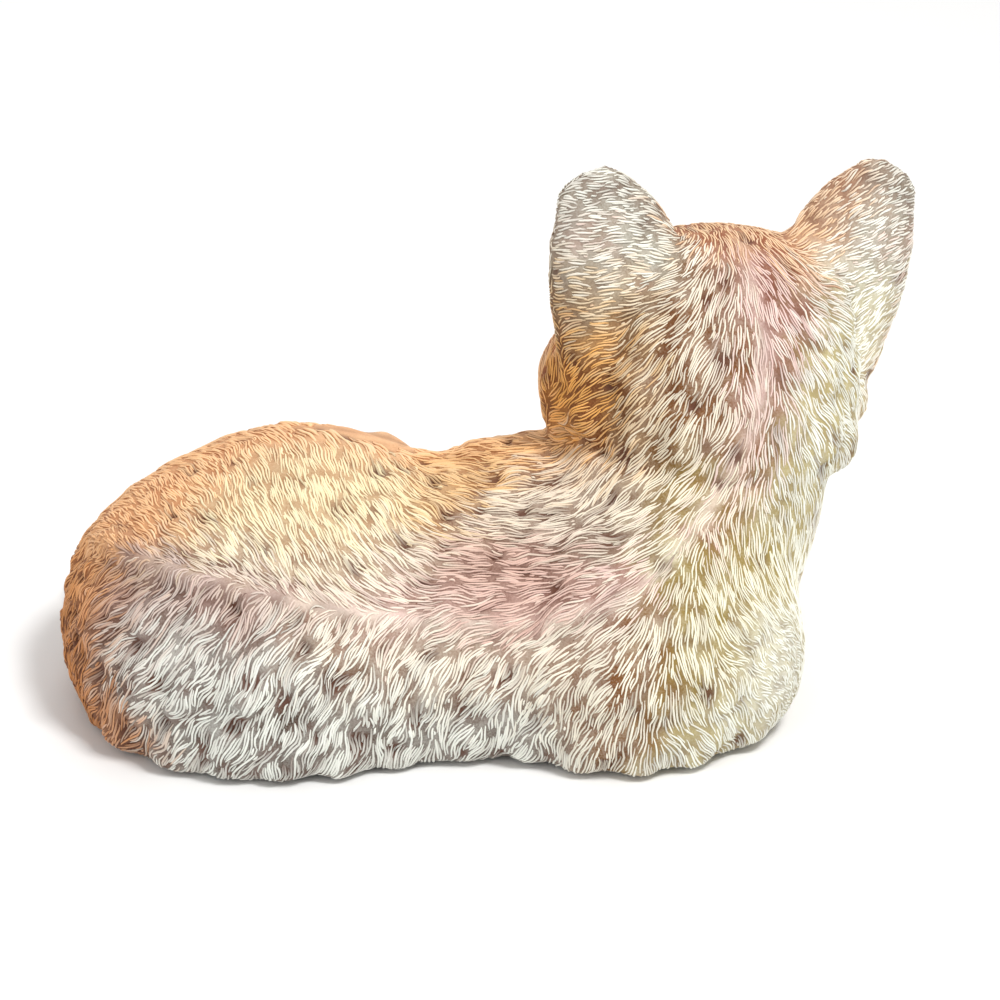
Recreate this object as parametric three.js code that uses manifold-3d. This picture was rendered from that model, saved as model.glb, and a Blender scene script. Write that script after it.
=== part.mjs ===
// A hollow cast-resin figurine of a lying cat, in millimetres, with +Z up.
// The face looks along -Y, the head is at -X and the rump at +X; the cat's back is on the +Y side.
import * as THREE from "three";
import { LoftGeometry } from "three/addons/geometries/LoftGeometry.js";
import { mergeVertices } from "three/addons/utils/BufferGeometryUtils.js";
import Module from "manifold-3d";

// Base: a felt sheet under everything, and a closing board let into the casting above it
const FELT_THICKNESS = 2;
const FELT_INSET = 5;
const BOARD_THICKNESS = 4;
const BOARD_LEDGE = 3;
const BOARD_CLEARANCE = 0.4;

// Shell of the castings and the joints between them
const BODY_WALL = 7;
const HEAD_WALL = 9;
const JOINT_GAP = 0.3;
const TAIL_PLUG = 3.5;
const NECK_X = -80;
const NECK_Y = -4;
const NECK_HEIGHT = 84;
const NECK_DECK = 13;
const DOWEL_DIAMETER = 20;
const DOWEL_LENGTH = 58;
const DOWEL_CLEARANCE = 0.3;

// Head: the skull stands over the neck joint, turned towards the rump and leaning to the right
const HEAD_TURN = 18;
const HEAD_LEAN = 5;
const SKULL_BACK = 12;
const SKULL_RISE = 33;
const SKULL_WIDTH = 102;
const SKULL_DEPTH = 94;
const SKULL_HEIGHT = 84;

// Eyes: a flat-backed glass dome over an iris disc, in a drilled seat
const EYE_DIAMETER = 19;
const EYE_DOME = 5.5;
const EYE_EDGE = 1.5;
const IRIS_THICKNESS = 1;
const EYE_CLEARANCE = 0.3;
const EYE_SIDE = 20;
const EYE_RISE = 4;
const EYE_SPREAD = 20;
const LID_RIM = 3.5;

// Ears: a cupped blade on each side of the crown
const EAR_WALL = 6;
const EAR_FOOT = { at: [32, 6, 0], wide: 27, high: 16 };
const EAR_MIDDLE = { at: [40, 5, 27], wide: 26, high: 13 };
const EAR_UPPER = { at: [47, 3, 47], wide: 21, high: 9 };
const EAR_TIP = { at: [53, 2, 60], wide: 13, high: 6 };
const EAR_TIP_DOME = 6;
const EAR_CUP_START = 0.3;
const RIGHT_EAR_SPLAY = 4;
const RIGHT_EAR_STRETCH = 2;

// Main places of the body: the hindquarters along it, the line of the back, and how far the forepaws reach
const HIND_X = 73;
const BACK_Y = 24;
const PAW_REACH = 100;
const PAW_STAGGER = 8;

// Body masses, pressed together like clay: a centre, three half sizes and a turn about the upright axis
const BODY_SOFTNESS = 6;
const BODY_CENTRE = [-36, 8, 40];
const RUMP = { at: [HIND_X + 36, -4, 26], radii: [41, 52, 42] };
const HIPS = { at: [HIND_X, BACK_Y, 22], radii: [73, 71, 56] };
const WAIST = { at: [10, BACK_Y - 5, 24], radii: [60, 61, 52] };
const SHOULDERS = { at: [-46, BACK_Y, 26], radii: [57, 69, 54] };
const LEFT_HAUNCH = { at: [HIND_X - 6, -12, 42], radii: [58, 58, 44] };
const LEFT_RIBS = { at: [-16, -10, 47], radii: [46, 38, 37] };
const RIGHT_ELBOW = { at: [-78, BACK_Y + 2, 26], radii: [24, 44, 30], turn: 24 };
const CHEST_FRONT = { at: [-73, -26, 44], radii: [36, 32, 38] };
const NECK = { at: [-76, 1, 84], radii: [42, 40, 64] };

// Legs and tail: a path of centres with the half width and half height at each, and the length of each end's dome
const LEFT_FORELEG = {
  across: [1, 0, 0],
  ends: [10, 15],
  stations: [
    { at: [-36, -34, 24], wide: 21, high: 21 },
    { at: [-44, -66, 18], wide: 17, high: 17 },
    { at: [-51, 12 - PAW_REACH, 15], wide: 16, high: 15 },
    { at: [-53, -PAW_REACH, 15], wide: 19, high: 15 },
  ],
};
const RIGHT_FORELEG = {
  across: [1, 0, 0],
  ends: [10, 15],
  stations: [
    { at: [-86, -2, 24], wide: 20, high: 21 },
    { at: [-94, -42, 18], wide: 17, high: 17 },
    { at: [-95, 14 + PAW_STAGGER - PAW_REACH, 15], wide: 16, high: 15 },
    { at: [-94, PAW_STAGGER - PAW_REACH, 15], wide: 19, high: 15 },
  ],
};
const LEFT_HIND_FOOT = {
  across: [0, 1, 0],
  ends: [10, 9],
  stations: [
    { at: [HIND_X + 19, -54, 18], wide: 17, high: 18 },
    { at: [HIND_X - 19, -68, 15], wide: 14, high: 14 },
    { at: [HIND_X - 51, -73, 13], wide: 15, high: 13 },
  ],
};
const RIGHT_HIND_FOOT = {
  across: [0, 1, 0],
  ends: [8, 9],
  stations: [
    { at: [HIND_X - 29, -44, 15], wide: 15, high: 15 },
    { at: [HIND_X - 65, -58, 13], wide: 13, high: 13 },
    { at: [HIND_X - 83, -63, 13], wide: 15, high: 12 },
  ],
};
const TAIL = {
  across: [0, 0, 1],
  ends: [6, 9],
  stations: [
    { at: [HIND_X + 55, -34, 18], wide: 14, high: 15 },
    { at: [HIND_X + 63, -58, 17], wide: 14, high: 15 },
    { at: [HIND_X + 49, -83, 16], wide: 14, high: 14 },
    { at: [HIND_X + 21, -95, 15], wide: 13, high: 13 },
    { at: [HIND_X - 21, -102, 14], wide: 13, high: 13 },
    { at: [HIND_X - 59, -101, 13], wide: 12, high: 12 },
    { at: [HIND_X - 81, -95, 12], wide: 9, high: 9 },
  ],
};

// Head masses, measured from the skull's centre
const HEAD_SOFTNESS = 3.5;
const HEAD_CENTRE = [0, -14, -4];
const CROWN = { at: [-3, 2, 25], radii: [46, 33, 15] };
const CHEEK = { at: [34, -9, -16], radii: [25, 32, 25] };
const NAPE = { at: [0, 19, -22], radii: [44, 35, 38] };
const BROW = { at: [17, -27, 16], radii: [19, 17, 13] };
const BRIDGE = { at: [0, -32, 3], radii: [11, 23, 14] };
const MUZZLE = { at: [0, -36, -14], radii: [24, 20, 14] };
const WHISKER_PAD = { at: [10, -47, -14], radii: [13, 11, 10] };
const CHIN = { at: [0, -43, -25], radii: [12, 11, 8] };
const NOSE_TIP = { at: [0, -56, -5], radii: [6.5, 5, 5] };

// Ridge of the back: places seen from above, from the rump to the waist, with how far it stands out at each
const RIDGE_ROUND = 6.5;
const RIDGE = [
  { at: [HIND_X + 60, BACK_Y - 4], rise: 3 },
  { at: [HIND_X + 51, BACK_Y + 14], rise: 4.5 },
  { at: [HIND_X + 32, BACK_Y + 36], rise: 4.5 },
  { at: [HIND_X + 11, BACK_Y + 47], rise: 4 },
  { at: [HIND_X - 10, BACK_Y + 51], rise: 3.2 },
  { at: [HIND_X - 30, BACK_Y + 50], rise: 2.2 },
  { at: [HIND_X - 50, BACK_Y + 48], rise: 1 },
];

// Tufts of the coat: low leaves that lift towards their tips, in rows that are each set off from the last
const TUFT_LENGTH = 28;
const TUFT_WIDTH = 15;
const TUFT_DEPTH = 4;
const TUFT_SINK = 1.8;
const TUFT_TILT = 9;
const TUFT_PITCH = 20;
const ROW_OFFSET = 0.618;
const TRUNK_AXIS = [10, 18];
const TRUNK_ROWS = { first: -5, last: 166, step: 19 };
const TRUNK_RUN = [-94, HIND_X + 64];
const FLANK_DROOP = 1.5;
const SMOOTH_HAUNCH = { behind: HIND_X - 35, steeper: 38 };
const HEAD_LIE = [0, 0.2, -1];
const HEAD_ROWS = { first: -6, last: 186, step: 21 };
const HEAD_RUN = [-26, 30];

// Fineness of the curved forms
const BODY_AROUND = 44;
const HEAD_AROUND = 44;
const HOLLOW_AROUND = 28;
const EAR_AROUND = 18;
const LIMB_AROUND = 14;
const RIDGE_AROUND = 10;
const TUFT_AROUND = 8;
const STEPS_PER_SPAN = 3;
const DOME_STEPS = 3;
const MARCH_STEP = 3;
const SLOPE_STEP = 0.1;

// Reach of a cutting block past every form
const BEYOND = 500;

const PAINT = {
  resin: { color: 0xe8d6b4, roughness: 0.75 },
  glass: { color: 0xcfe0d8, roughness: 0.05 },
  iris: { color: 0x8f9a3a, roughness: 0.35 },
  wood: { color: 0xb98d5a, roughness: 0.65 },
  felt: { color: 0x3f5a46, roughness: 0.95 },
};

const wasm = await Module();
wasm.setup();

// Turns a closed geometry into a solid that can be joined and cut
function solid(geometry) {
  geometry.deleteAttribute("normal");
  geometry.deleteAttribute("uv");
  const merged = mergeVertices(new THREE.BufferGeometry().copy(geometry), 1e-4);
  const mesh = { numProp: 3 };
  mesh.vertProperties = new Float32Array(merged.attributes.position.array);
  mesh.triVerts = new Uint32Array(merged.index.array);
  const made = new wasm.Manifold(new wasm.Mesh(mesh));
  if (made.volume() >= 0) return made;
  mesh.triVerts.reverse();
  return new wasm.Manifold(new wasm.Mesh(mesh));
}

function join(solids) {
  return solids.reduce((whole, next) => whole.add(next));
}

// Signed reach of one mass at a point: negative inside, about the distance outside
function reach({ at, radii, turn = 0 }, point) {
  const angle = THREE.MathUtils.degToRad(turn);
  const x = point.x - at[0];
  const y = point.y - at[1];
  const along = (x * Math.cos(angle) + y * Math.sin(angle)) / radii[0];
  const across = (y * Math.cos(angle) - x * Math.sin(angle)) / radii[1];
  const up = (point.z - at[2]) / radii[2];
  const size = Math.hypot(along, across, up);
  const slope = Math.hypot(along / radii[0], across / radii[1], up / radii[2]);
  return (size * (size - 1)) / Math.max(slope, 1e-6);
}

// Reach of a whole group of masses, rounded where they run into each other
function blend(masses, softness, point) {
  const sum = masses.reduce((total, mass) => total + Math.exp(-reach(mass, point) / softness), 0);
  return -softness * Math.log(sum);
}

// Place where a line from inside comes out through the skin of the blended masses
function skinAlong({ masses, softness }, from, direction, grow = 0) {
  const place = (far) => from.clone().addScaledVector(direction, far);
  const outside = (far) => blend(masses, softness, place(far)) > grow;
  let far = MARCH_STEP;
  while (!outside(far)) far += MARCH_STEP;
  let near = far - MARCH_STEP;
  for (let k = 0; k < 12; k += 1) {
    const half = (near + far) / 2;
    if (outside(half)) far = half;
    else near = half;
  }
  return place(far);
}

// Outward direction of that skin at a place
function outward({ masses, softness }, place) {
  const here = blend(masses, softness, place);
  const slope = new THREE.Vector3();
  for (const axis of ["x", "y", "z"]) {
    const beside = place.clone();
    beside[axis] += SLOPE_STEP;
    slope[axis] = blend(masses, softness, beside) - here;
  }
  return slope.normalize();
}

// A sphere whose points are drawn out from a centre to the skin of the blended masses
function moulded(form, around, grow = 0) {
  const geometry = new THREE.SphereGeometry(1, around, Math.round(around * 0.7));
  if (form.pole === "x") geometry.rotateZ(Math.PI / 2);
  const middle = new THREE.Vector3(...form.centre);
  const corners = geometry.attributes.position;
  for (let i = 0; i < corners.count; i += 1) {
    const direction = new THREE.Vector3().fromBufferAttribute(corners, i).normalize();
    const place = skinAlong(form, middle, direction, grow);
    corners.setXYZ(i, place.x, place.y, place.z);
  }
  return solid(geometry);
}

// A tuft of the coat at a place on the skin: a leaf along the fur's lie, sunk at its root and lifted at its tip
function tuft(form, place, lie) {
  const out = outward(form, place);
  const way = new THREE.Vector3(...lie);
  way.addScaledVector(out, -way.dot(out)).normalize();
  const side = new THREE.Vector3().crossVectors(out, way);
  const leaf = new THREE.SphereGeometry(1, TUFT_AROUND, TUFT_AROUND / 2);
  leaf.scale(TUFT_LENGTH / 2, TUFT_WIDTH / 2, TUFT_DEPTH);
  leaf.rotateY(-THREE.MathUtils.degToRad(TUFT_TILT));
  leaf.translate(0, 0, -TUFT_SINK);
  leaf.applyMatrix4(new THREE.Matrix4().makeBasis(way, side, out).setPosition(place));
  return solid(leaf);
}

// Rows of tufts; each row looks out from an axis at its own angle, and its tufts follow each other along the axis
function coat(form, { rows, run, ray }) {
  const tufts = [];
  const count = Math.floor((rows.last - rows.first) / rows.step) + 1;
  for (let row = 0; row < count; row += 1) {
    const angle = THREE.MathUtils.degToRad(rows.first + row * rows.step);
    const start = run[0] + ((row * ROW_OFFSET) % 1) * TUFT_PITCH;
    for (let along = start; along < run[1]; along += TUFT_PITCH) {
      const { from, direction, lie, smooth } = ray(along, angle);
      if (!smooth) tufts.push(tuft(form, skinAlong(form, from, direction), lie));
    }
  }
  return join(tufts);
}

// A stretched ball
function ball({ at, radii }, around = LIMB_AROUND) {
  const geometry = new THREE.SphereGeometry(1, around, Math.round(around * 0.6));
  geometry.scale(...radii);
  geometry.translate(...at);
  return solid(geometry);
}

function mirrored(form) {
  return { ...form, at: [-form.at[0], form.at[1], form.at[2]] };
}

// One elliptical ring of a limb, square to its path
function ring(centre, tangent, across, size, around) {
  const side = new THREE.Vector3(...across);
  side.addScaledVector(tangent, -side.dot(tangent)).normalize();
  const rise = new THREE.Vector3().crossVectors(tangent, side);
  const points = [];
  for (let i = 0; i < around; i += 1) {
    const angle = (i / around) * Math.PI * 2;
    const point = centre.clone().addScaledVector(side, Math.cos(angle) * size.x);
    points.push(point.addScaledVector(rise, Math.sin(angle) * size.y));
  }
  return points;
}

// A limb: rings lofted along a smooth path, with a dome beyond each end
function limb(form, grow = 0, around = LIMB_AROUND) {
  const { stations, across, ends } = form;
  const path = new THREE.CatmullRomCurve3(stations.map((s) => new THREE.Vector3(...s.at)));
  const sizes = new THREE.CatmullRomCurve3(
    stations.map((s) => new THREE.Vector3(s.wide, s.high, 0).addScalar(grow)),
  );
  const rings = [];
  const dome = (t, length, k) => {
    const angle = (k / DOME_STEPS) * 1.4;
    const tangent = path.getTangent(t);
    const centre = path.getPoint(t).addScaledVector(tangent, length * Math.sin(angle));
    rings.push(ring(centre, tangent, across, sizes.getPoint(t).multiplyScalar(Math.cos(angle)), around));
  };
  for (let k = DOME_STEPS; k > 0; k -= 1) dome(0, -(ends[0] + grow), k);
  const steps = (stations.length - 1) * STEPS_PER_SPAN;
  for (let i = 0; i <= steps; i += 1) {
    const t = i / steps;
    rings.push(ring(path.getPoint(t), path.getTangent(t), across, sizes.getPoint(t), around));
  }
  for (let k = 1; k <= DOME_STEPS; k += 1) dome(1, ends[1] + grow, k);
  return solid(new LoftGeometry(rings, { capStart: true, capEnd: true }));
}

// Moves a group to the neck joint, with the head's own turn and lean
function onNeck(group) {
  group.position.set(NECK_X, NECK_Y, NECK_HEIGHT);
  const turn = THREE.MathUtils.degToRad(HEAD_TURN);
  group.rotation.set(0, -THREE.MathUtils.degToRad(HEAD_LEAN), turn, "ZYX");
  group.updateMatrix();
  return group;
}

function toNeck(shape) {
  return shape.transform(onNeck(new THREE.Group()).matrix.toArray());
}

// A wide block between two heights, used to cut and to keep parts of a form
function slab(low, high) {
  const geometry = new THREE.BoxGeometry(2 * BEYOND, 2 * BEYOND, high - low);
  geometry.translate(0, 0, (low + high) / 2);
  return solid(geometry);
}

function upright(diameter, low, high, sides = 32) {
  const geometry = new THREE.CylinderGeometry(diameter / 2, diameter / 2, high - low, sides);
  geometry.rotateX(Math.PI / 2);
  geometry.translate(0, 0, (low + high) / 2);
  return solid(geometry);
}

const TRUNK = {
  masses: [RUMP, HIPS, WAIST, SHOULDERS, LEFT_HAUNCH, LEFT_RIBS, RIGHT_ELBOW, CHEST_FRONT, NECK],
  softness: BODY_SOFTNESS,
  centre: BODY_CENTRE,
  pole: "x",
};

// Trunk of the cat, whole or shrunk for its hollow
function trunk(around, grow = 0) {
  return moulded(TRUNK, around, grow);
}

// Tufts of the trunk lie towards the rump, and droop on the flanks; the top of the haunches has none
function trunkCoat() {
  const steep = Math.sin(THREE.MathUtils.degToRad(SMOOTH_HAUNCH.steeper));
  const ray = (along, angle) => ({
    from: new THREE.Vector3(along, ...TRUNK_AXIS),
    direction: new THREE.Vector3(0, Math.cos(angle), Math.sin(angle)),
    lie: [1, 0, -FLANK_DROOP * Math.abs(Math.cos(angle))],
    smooth: along > SMOOTH_HAUNCH.behind && Math.sin(angle) > steep,
  });
  return coat(TRUNK, { rows: TRUNK_ROWS, run: TRUNK_RUN, ray });
}

// Ridge along the back: a round bead, sunk so that only its crest stands out
function backRidge() {
  const stations = RIDGE.map(({ at, rise }) => {
    const from = new THREE.Vector3(...at, TRUNK_AXIS[1]);
    const place = skinAlong(TRUNK, from, new THREE.Vector3(0, 0, 1));
    place.addScaledVector(outward(TRUNK, place), rise - RIDGE_ROUND);
    return { at: place.toArray(), wide: RIDGE_ROUND, high: RIDGE_ROUND };
  });
  return limb({ across: [0, 1, 0], ends: [RIDGE_ROUND, RIDGE_ROUND], stations }, 0, RIDGE_AROUND);
}

function legs() {
  return join([LEFT_FORELEG, RIGHT_FORELEG, LEFT_HIND_FOOT, RIGHT_HIND_FOOT].map((form) => limb(form)));
}

function bodyCasting() {
  const whole = join([trunk(BODY_AROUND), legs(), backRidge(), trunkCoat()]);
  const outside = whole.intersect(slab(FELT_THICKNESS, BEYOND));
  const hollow = trunk(HOLLOW_AROUND, -BODY_WALL).intersect(toNeck(slab(-BEYOND, -NECK_DECK)));
  const boardTop = FELT_THICKNESS + BOARD_THICKNESS + BOARD_CLEARANCE;
  const rebate = trunk(HOLLOW_AROUND, BOARD_LEDGE - BODY_WALL).intersect(slab(0, boardTop));
  const bore = toNeck(upright(DOWEL_DIAMETER + 2 * DOWEL_CLEARANCE, -DOWEL_LENGTH, 1));
  const tailSeat = limb(TAIL, JOINT_GAP).subtract(trunk(HOLLOW_AROUND, -TAIL_PLUG));
  const cuts = [toNeck(slab(0, BEYOND)), hollow, rebate, bore, tailSeat];
  return cuts.reduce((left, cut) => left.subtract(cut), outside);
}

// The tail's root is a plug that stops inside the body's wall
function tailCasting() {
  const tail = limb(TAIL).subtract(trunk(HOLLOW_AROUND, JOINT_GAP - TAIL_PLUG));
  return tail.intersect(slab(FELT_THICKNESS, NECK_HEIGHT));
}

function baseBoard() {
  const outline = trunk(HOLLOW_AROUND, BOARD_LEDGE - BODY_WALL - BOARD_CLEARANCE);
  return outline.intersect(slab(FELT_THICKNESS, FELT_THICKNESS + BOARD_THICKNESS));
}

function baseFelt() {
  return trunk(HOLLOW_AROUND, -FELT_INSET).intersect(slab(0, FELT_THICKNESS));
}

function neckDowel() {
  const middle = JOINT_GAP / 2;
  return upright(DOWEL_DIAMETER, middle - DOWEL_LENGTH / 2, middle + DOWEL_LENGTH / 2);
}

// Cupped ear blade on the cat's left, measured from the skull's centre; splay and stretch move its upper end
function ear(splay = 0, stretch = 0) {
  const blade = { across: [1, 0, 0], ends: [4, EAR_TIP_DOME] };
  blade.stations = [EAR_FOOT, EAR_MIDDLE, EAR_UPPER, EAR_TIP].map((station) => {
    const share = (station.at[2] - EAR_FOOT.at[2]) / (EAR_TIP.at[2] - EAR_FOOT.at[2]);
    const [x, y, z] = station.at;
    return { ...station, at: [x + splay * share, y, z + stretch * share] };
  });
  const cup = { across: [1, 0, 0], ends: [4, 2] };
  const path = new THREE.CatmullRomCurve3(blade.stations.map((s) => new THREE.Vector3(...s.at)));
  const sizes = new THREE.CatmullRomCurve3(
    blade.stations.map((s) => new THREE.Vector3(s.wide, s.high, 0)),
  );
  cup.stations = [EAR_CUP_START, 0.6, 0.9].map((t) => {
    const centre = path.getPoint(t);
    const size = sizes.getPoint(t);
    return { at: [centre.x, centre.y - EAR_WALL, centre.z], wide: size.x - EAR_WALL, high: size.y };
  });
  return limb(blade, 0, EAR_AROUND).subtract(limb(cup, 0, EAR_AROUND));
}

// Centre of an eye seat on the skull's surface, from its sideways and upward offset
function eyeAt(side) {
  const sideways = EYE_SIDE / (SKULL_WIDTH / 2);
  const upward = EYE_RISE / (SKULL_HEIGHT / 2);
  const front = (SKULL_DEPTH / 2) * Math.sqrt(1 - sideways ** 2 - upward ** 2);
  return [side * EYE_SIDE, -SKULL_BACK - front, SKULL_RISE + EYE_RISE];
}

// Turns a form made along +Z so that it looks out of one eye
function lookOut(group, side) {
  group.position.set(...eyeAt(side));
  group.rotation.set(Math.PI / 2, 0, THREE.MathUtils.degToRad(side * EYE_SPREAD), "ZYX");
  group.updateMatrix();
  return group.matrix;
}

function headCoat(form) {
  const ray = (along, angle) => ({
    from: new THREE.Vector3(0, 0, along),
    direction: new THREE.Vector3(Math.cos(angle), Math.sin(angle), 0),
    lie: HEAD_LIE,
  });
  return coat(form, { rows: HEAD_ROWS, run: HEAD_RUN, ray });
}

function headCasting() {
  const skull = { at: [0, 0, 0], radii: [SKULL_WIDTH / 2, SKULL_DEPTH / 2, SKULL_HEIGHT / 2] };
  const paired = [CHEEK, BROW, WHISKER_PAD].flatMap((form) => [form, mirrored(form)]);
  const masses = [skull, CROWN, NAPE, BRIDGE, MUZZLE, CHIN, NOSE_TIP, ...paired];
  const form = { masses, softness: HEAD_SOFTNESS, centre: HEAD_CENTRE };
  const rightEar = ear(RIGHT_EAR_SPLAY, RIGHT_EAR_STRETCH).mirror([1, 0, 0]);
  const whole = join([moulded(form, HEAD_AROUND), headCoat(form), ear(), rightEar]);
  const hollow = ball({ at: [0, 0, 0], radii: skull.radii.map((r) => r - HEAD_WALL) }, HOLLOW_AROUND);
  const toSkull = [0, -SKULL_BACK, SKULL_RISE];
  const bore = upright(DOWEL_DIAMETER + 2 * DOWEL_CLEARANCE, -1, SKULL_RISE);
  const cavity = hollow.translate(toSkull).intersect(slab(NECK_DECK, BEYOND)).add(bore);
  let head = whole.translate(toSkull).intersect(slab(JOINT_GAP, BEYOND));
  for (const side of [1, -1]) {
    head = head.add(placed(lidMound(), side)).subtract(placed(eyeSeat(), side));
  }
  return head.subtract(cavity);
}

// Raised lids around one eye, along +Z
function lidMound() {
  const rim = EYE_DIAMETER / 2 + LID_RIM;
  return ball({ at: [0, 0, -1], radii: [rim, rim * 0.9, 5] }, HOLLOW_AROUND);
}

// Drilled seat of one eye, along +Z
function eyeSeat() {
  const depth = EYE_EDGE + IRIS_THICKNESS + 3 * EYE_CLEARANCE;
  return upright(EYE_DIAMETER + 2 * EYE_CLEARANCE, -depth, 20, 28);
}

function placed(shape, side) {
  return shape.transform(lookOut(new THREE.Group(), side).toArray());
}

function eyeIris() {
  const bottom = -(EYE_EDGE + IRIS_THICKNESS + 2 * EYE_CLEARANCE);
  return upright(EYE_DIAMETER, bottom, bottom + IRIS_THICKNESS, 28);
}

// Flat-backed glass dome, turned about +Z
function eyeGlass() {
  const radius = EYE_DIAMETER / 2;
  const outline = [new THREE.Vector2(0, -EYE_EDGE), new THREE.Vector2(radius, -EYE_EDGE)];
  for (let i = 0; i < 6; i += 1) {
    const angle = (i / 6) * (Math.PI / 2);
    outline.push(new THREE.Vector2(radius * Math.cos(angle), EYE_DOME * Math.sin(angle)));
  }
  outline.push(new THREE.Vector2(0, EYE_DOME));
  const geometry = new THREE.LatheGeometry(outline, 28);
  geometry.rotateX(Math.PI / 2);
  return solid(geometry);
}

// Makes a named mesh in its own paint
function piece(name, shape, paint) {
  const data = shape.getMesh();
  const geometry = new THREE.BufferGeometry();
  geometry.setAttribute("position", new THREE.BufferAttribute(new Float32Array(data.vertProperties), 3));
  geometry.setIndex(new THREE.BufferAttribute(new Uint32Array(data.triVerts), 1));
  geometry.computeVertexNormals();
  const mesh = new THREE.Mesh(geometry, new THREE.MeshStandardMaterial({ ...paint, name: `${name}_paint` }));
  mesh.name = name;
  return mesh;
}

function eye(name, side) {
  const group = new THREE.Group();
  lookOut(group, side);
  group.add(piece(`${name}_glass`, eyeGlass(), PAINT.glass));
  group.add(piece(`${name}_iris`, eyeIris(), PAINT.iris));
  return group;
}

function figurine() {
  const whole = new THREE.Group();
  whole.name = "cat_figurine";
  whole.add(piece("body_casting", bodyCasting(), PAINT.resin));
  whole.add(piece("tail_casting", tailCasting(), PAINT.resin));
  whole.add(piece("base_board", baseBoard(), PAINT.wood));
  whole.add(piece("base_felt", baseFelt(), PAINT.felt));
  const head = onNeck(new THREE.Group());
  head.add(piece("head_casting", headCasting(), PAINT.resin));
  head.add(piece("neck_dowel", neckDowel(), PAINT.wood));
  head.add(eye("left_eye", 1));
  head.add(eye("right_eye", -1));
  whole.add(head);
  return whole;
}

export default figurine();
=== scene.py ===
# %% [markdown]
# Lying cat in cast resin.
# The figurine is cast in three pieces, body, head and tail, with carved and painted fur. The solids that
# came from the CAD model fix its size and place; this notebook wraps them in a soft skin, carves the coat
# stroke by stroke and paints it. The first cell loads the solids.

# %% Load the solids
import math
from collections import namedtuple

import bmesh
import bpy
import numpy as np
from mathutils import Matrix, Vector, noise
from mathutils.bvhtree import BVHTree
from mathutils.kdtree import KDTree


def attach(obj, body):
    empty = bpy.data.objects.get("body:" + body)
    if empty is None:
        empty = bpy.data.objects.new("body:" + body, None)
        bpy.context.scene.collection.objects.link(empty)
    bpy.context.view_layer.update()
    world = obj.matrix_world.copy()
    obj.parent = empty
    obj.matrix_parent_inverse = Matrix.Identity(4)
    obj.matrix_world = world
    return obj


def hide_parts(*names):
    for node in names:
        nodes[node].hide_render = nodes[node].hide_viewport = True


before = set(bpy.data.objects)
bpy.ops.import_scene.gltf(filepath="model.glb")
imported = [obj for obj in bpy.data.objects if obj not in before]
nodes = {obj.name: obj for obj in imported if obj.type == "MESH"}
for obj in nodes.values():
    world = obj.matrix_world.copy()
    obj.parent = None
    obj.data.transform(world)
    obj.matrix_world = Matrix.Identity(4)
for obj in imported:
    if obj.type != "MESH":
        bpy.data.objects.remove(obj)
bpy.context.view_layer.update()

MM = 0.001
chance = np.random.default_rng(27)
print("solids:", sorted(nodes))

# %% [markdown]
# Camera.
# The picture looks at the cat's back from a little above, from far enough away that the lines hardly
# converge. A long lens does the same here. The camera is turned to frame the cat, not shifted, so that
# other views stay centred. It comes first because marks on the picture are dropped onto the skin along
# its lines of sight.

# %% Camera at the picture's angle
LENS = 130.0
SENSOR = 36.0
PICTURE = 1000
CAMERA_AT = Vector((0.0, 1178.2, 549.4)) * MM
CAMERA_AIM = Vector((-3.6, -26.0, 55.8)) * MM
camera_turn = (CAMERA_AIM - CAMERA_AT).to_track_quat("-Z", "Y")
camera = bpy.data.objects.new("camera", bpy.data.cameras.new("camera"))
camera.data.lens = LENS
camera.data.sensor_width = SENSOR
camera.location = CAMERA_AT
camera.rotation_euler = camera_turn.to_euler()
bpy.context.scene.collection.objects.link(camera)
bpy.context.scene.camera = camera


def sight_line(u, v):
    """Line of sight through a point of the picture, as a unit direction in the row frame."""
    half = SENSOR / 2 / LENS
    middle = PICTURE / 2
    across = Vector(((u - middle) / middle * half, (middle - v) / middle * half, -1.0))
    return (camera_turn @ across).normalized()


print("camera", [round(x, 3) for x in camera.location], "lens", LENS)

# %% [markdown]
# Wrapping the castings.
# The CAD castings are hollow and faceted, and the head is a separate casting on the neck. Under the
# carved coat no joint shows, so copies of body, head, board and dowel are wrapped together by a voxel
# remesh, which closes the small gaps and gives even faces. Only the outer shell is kept. A plain smooth
# would shrink the ears, so each smoothing step is followed by a slightly larger step back, which takes
# out facets and leaves the volume.

# %% Helpers that make meshes
def link(name, mesh):
    """A new object at the origin holding a mesh."""
    made = bpy.data.objects.new(name, mesh)
    bpy.context.scene.collection.objects.link(made)
    return made


def mesh_from(shape, name):
    """Turns a bmesh into a mesh and frees it."""
    mesh = bpy.data.meshes.new(name)
    shape.to_mesh(mesh)
    shape.free()
    return mesh


def settle(piece):
    """Replaces a piece's mesh by what its modifiers make of it."""
    graph = bpy.context.evaluated_depsgraph_get()
    made = bpy.data.meshes.new_from_object(piece.evaluated_get(graph))
    piece.modifiers.clear()
    piece.data = made
    return piece


print("helpers that make meshes are ready")

# %% Helpers that read and store values on a mesh
def points_of(mesh):
    """Vertex places in millimetres, one row each."""
    flat = np.empty(len(mesh.vertices) * 3)
    mesh.vertices.foreach_get("co", flat)
    return flat.reshape(-1, 3) / MM


def normals_of(mesh):
    """Vertex normals, one row each."""
    flat = np.empty(len(mesh.vertices) * 3)
    mesh.vertex_normals.foreach_get("vector", flat)
    return flat.reshape(-1, 3)


def put_points(mesh, points):
    """Moves the vertices to these places, in millimetres."""
    mesh.vertices.foreach_set("co", (points * MM).ravel())
    mesh.update()


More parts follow.
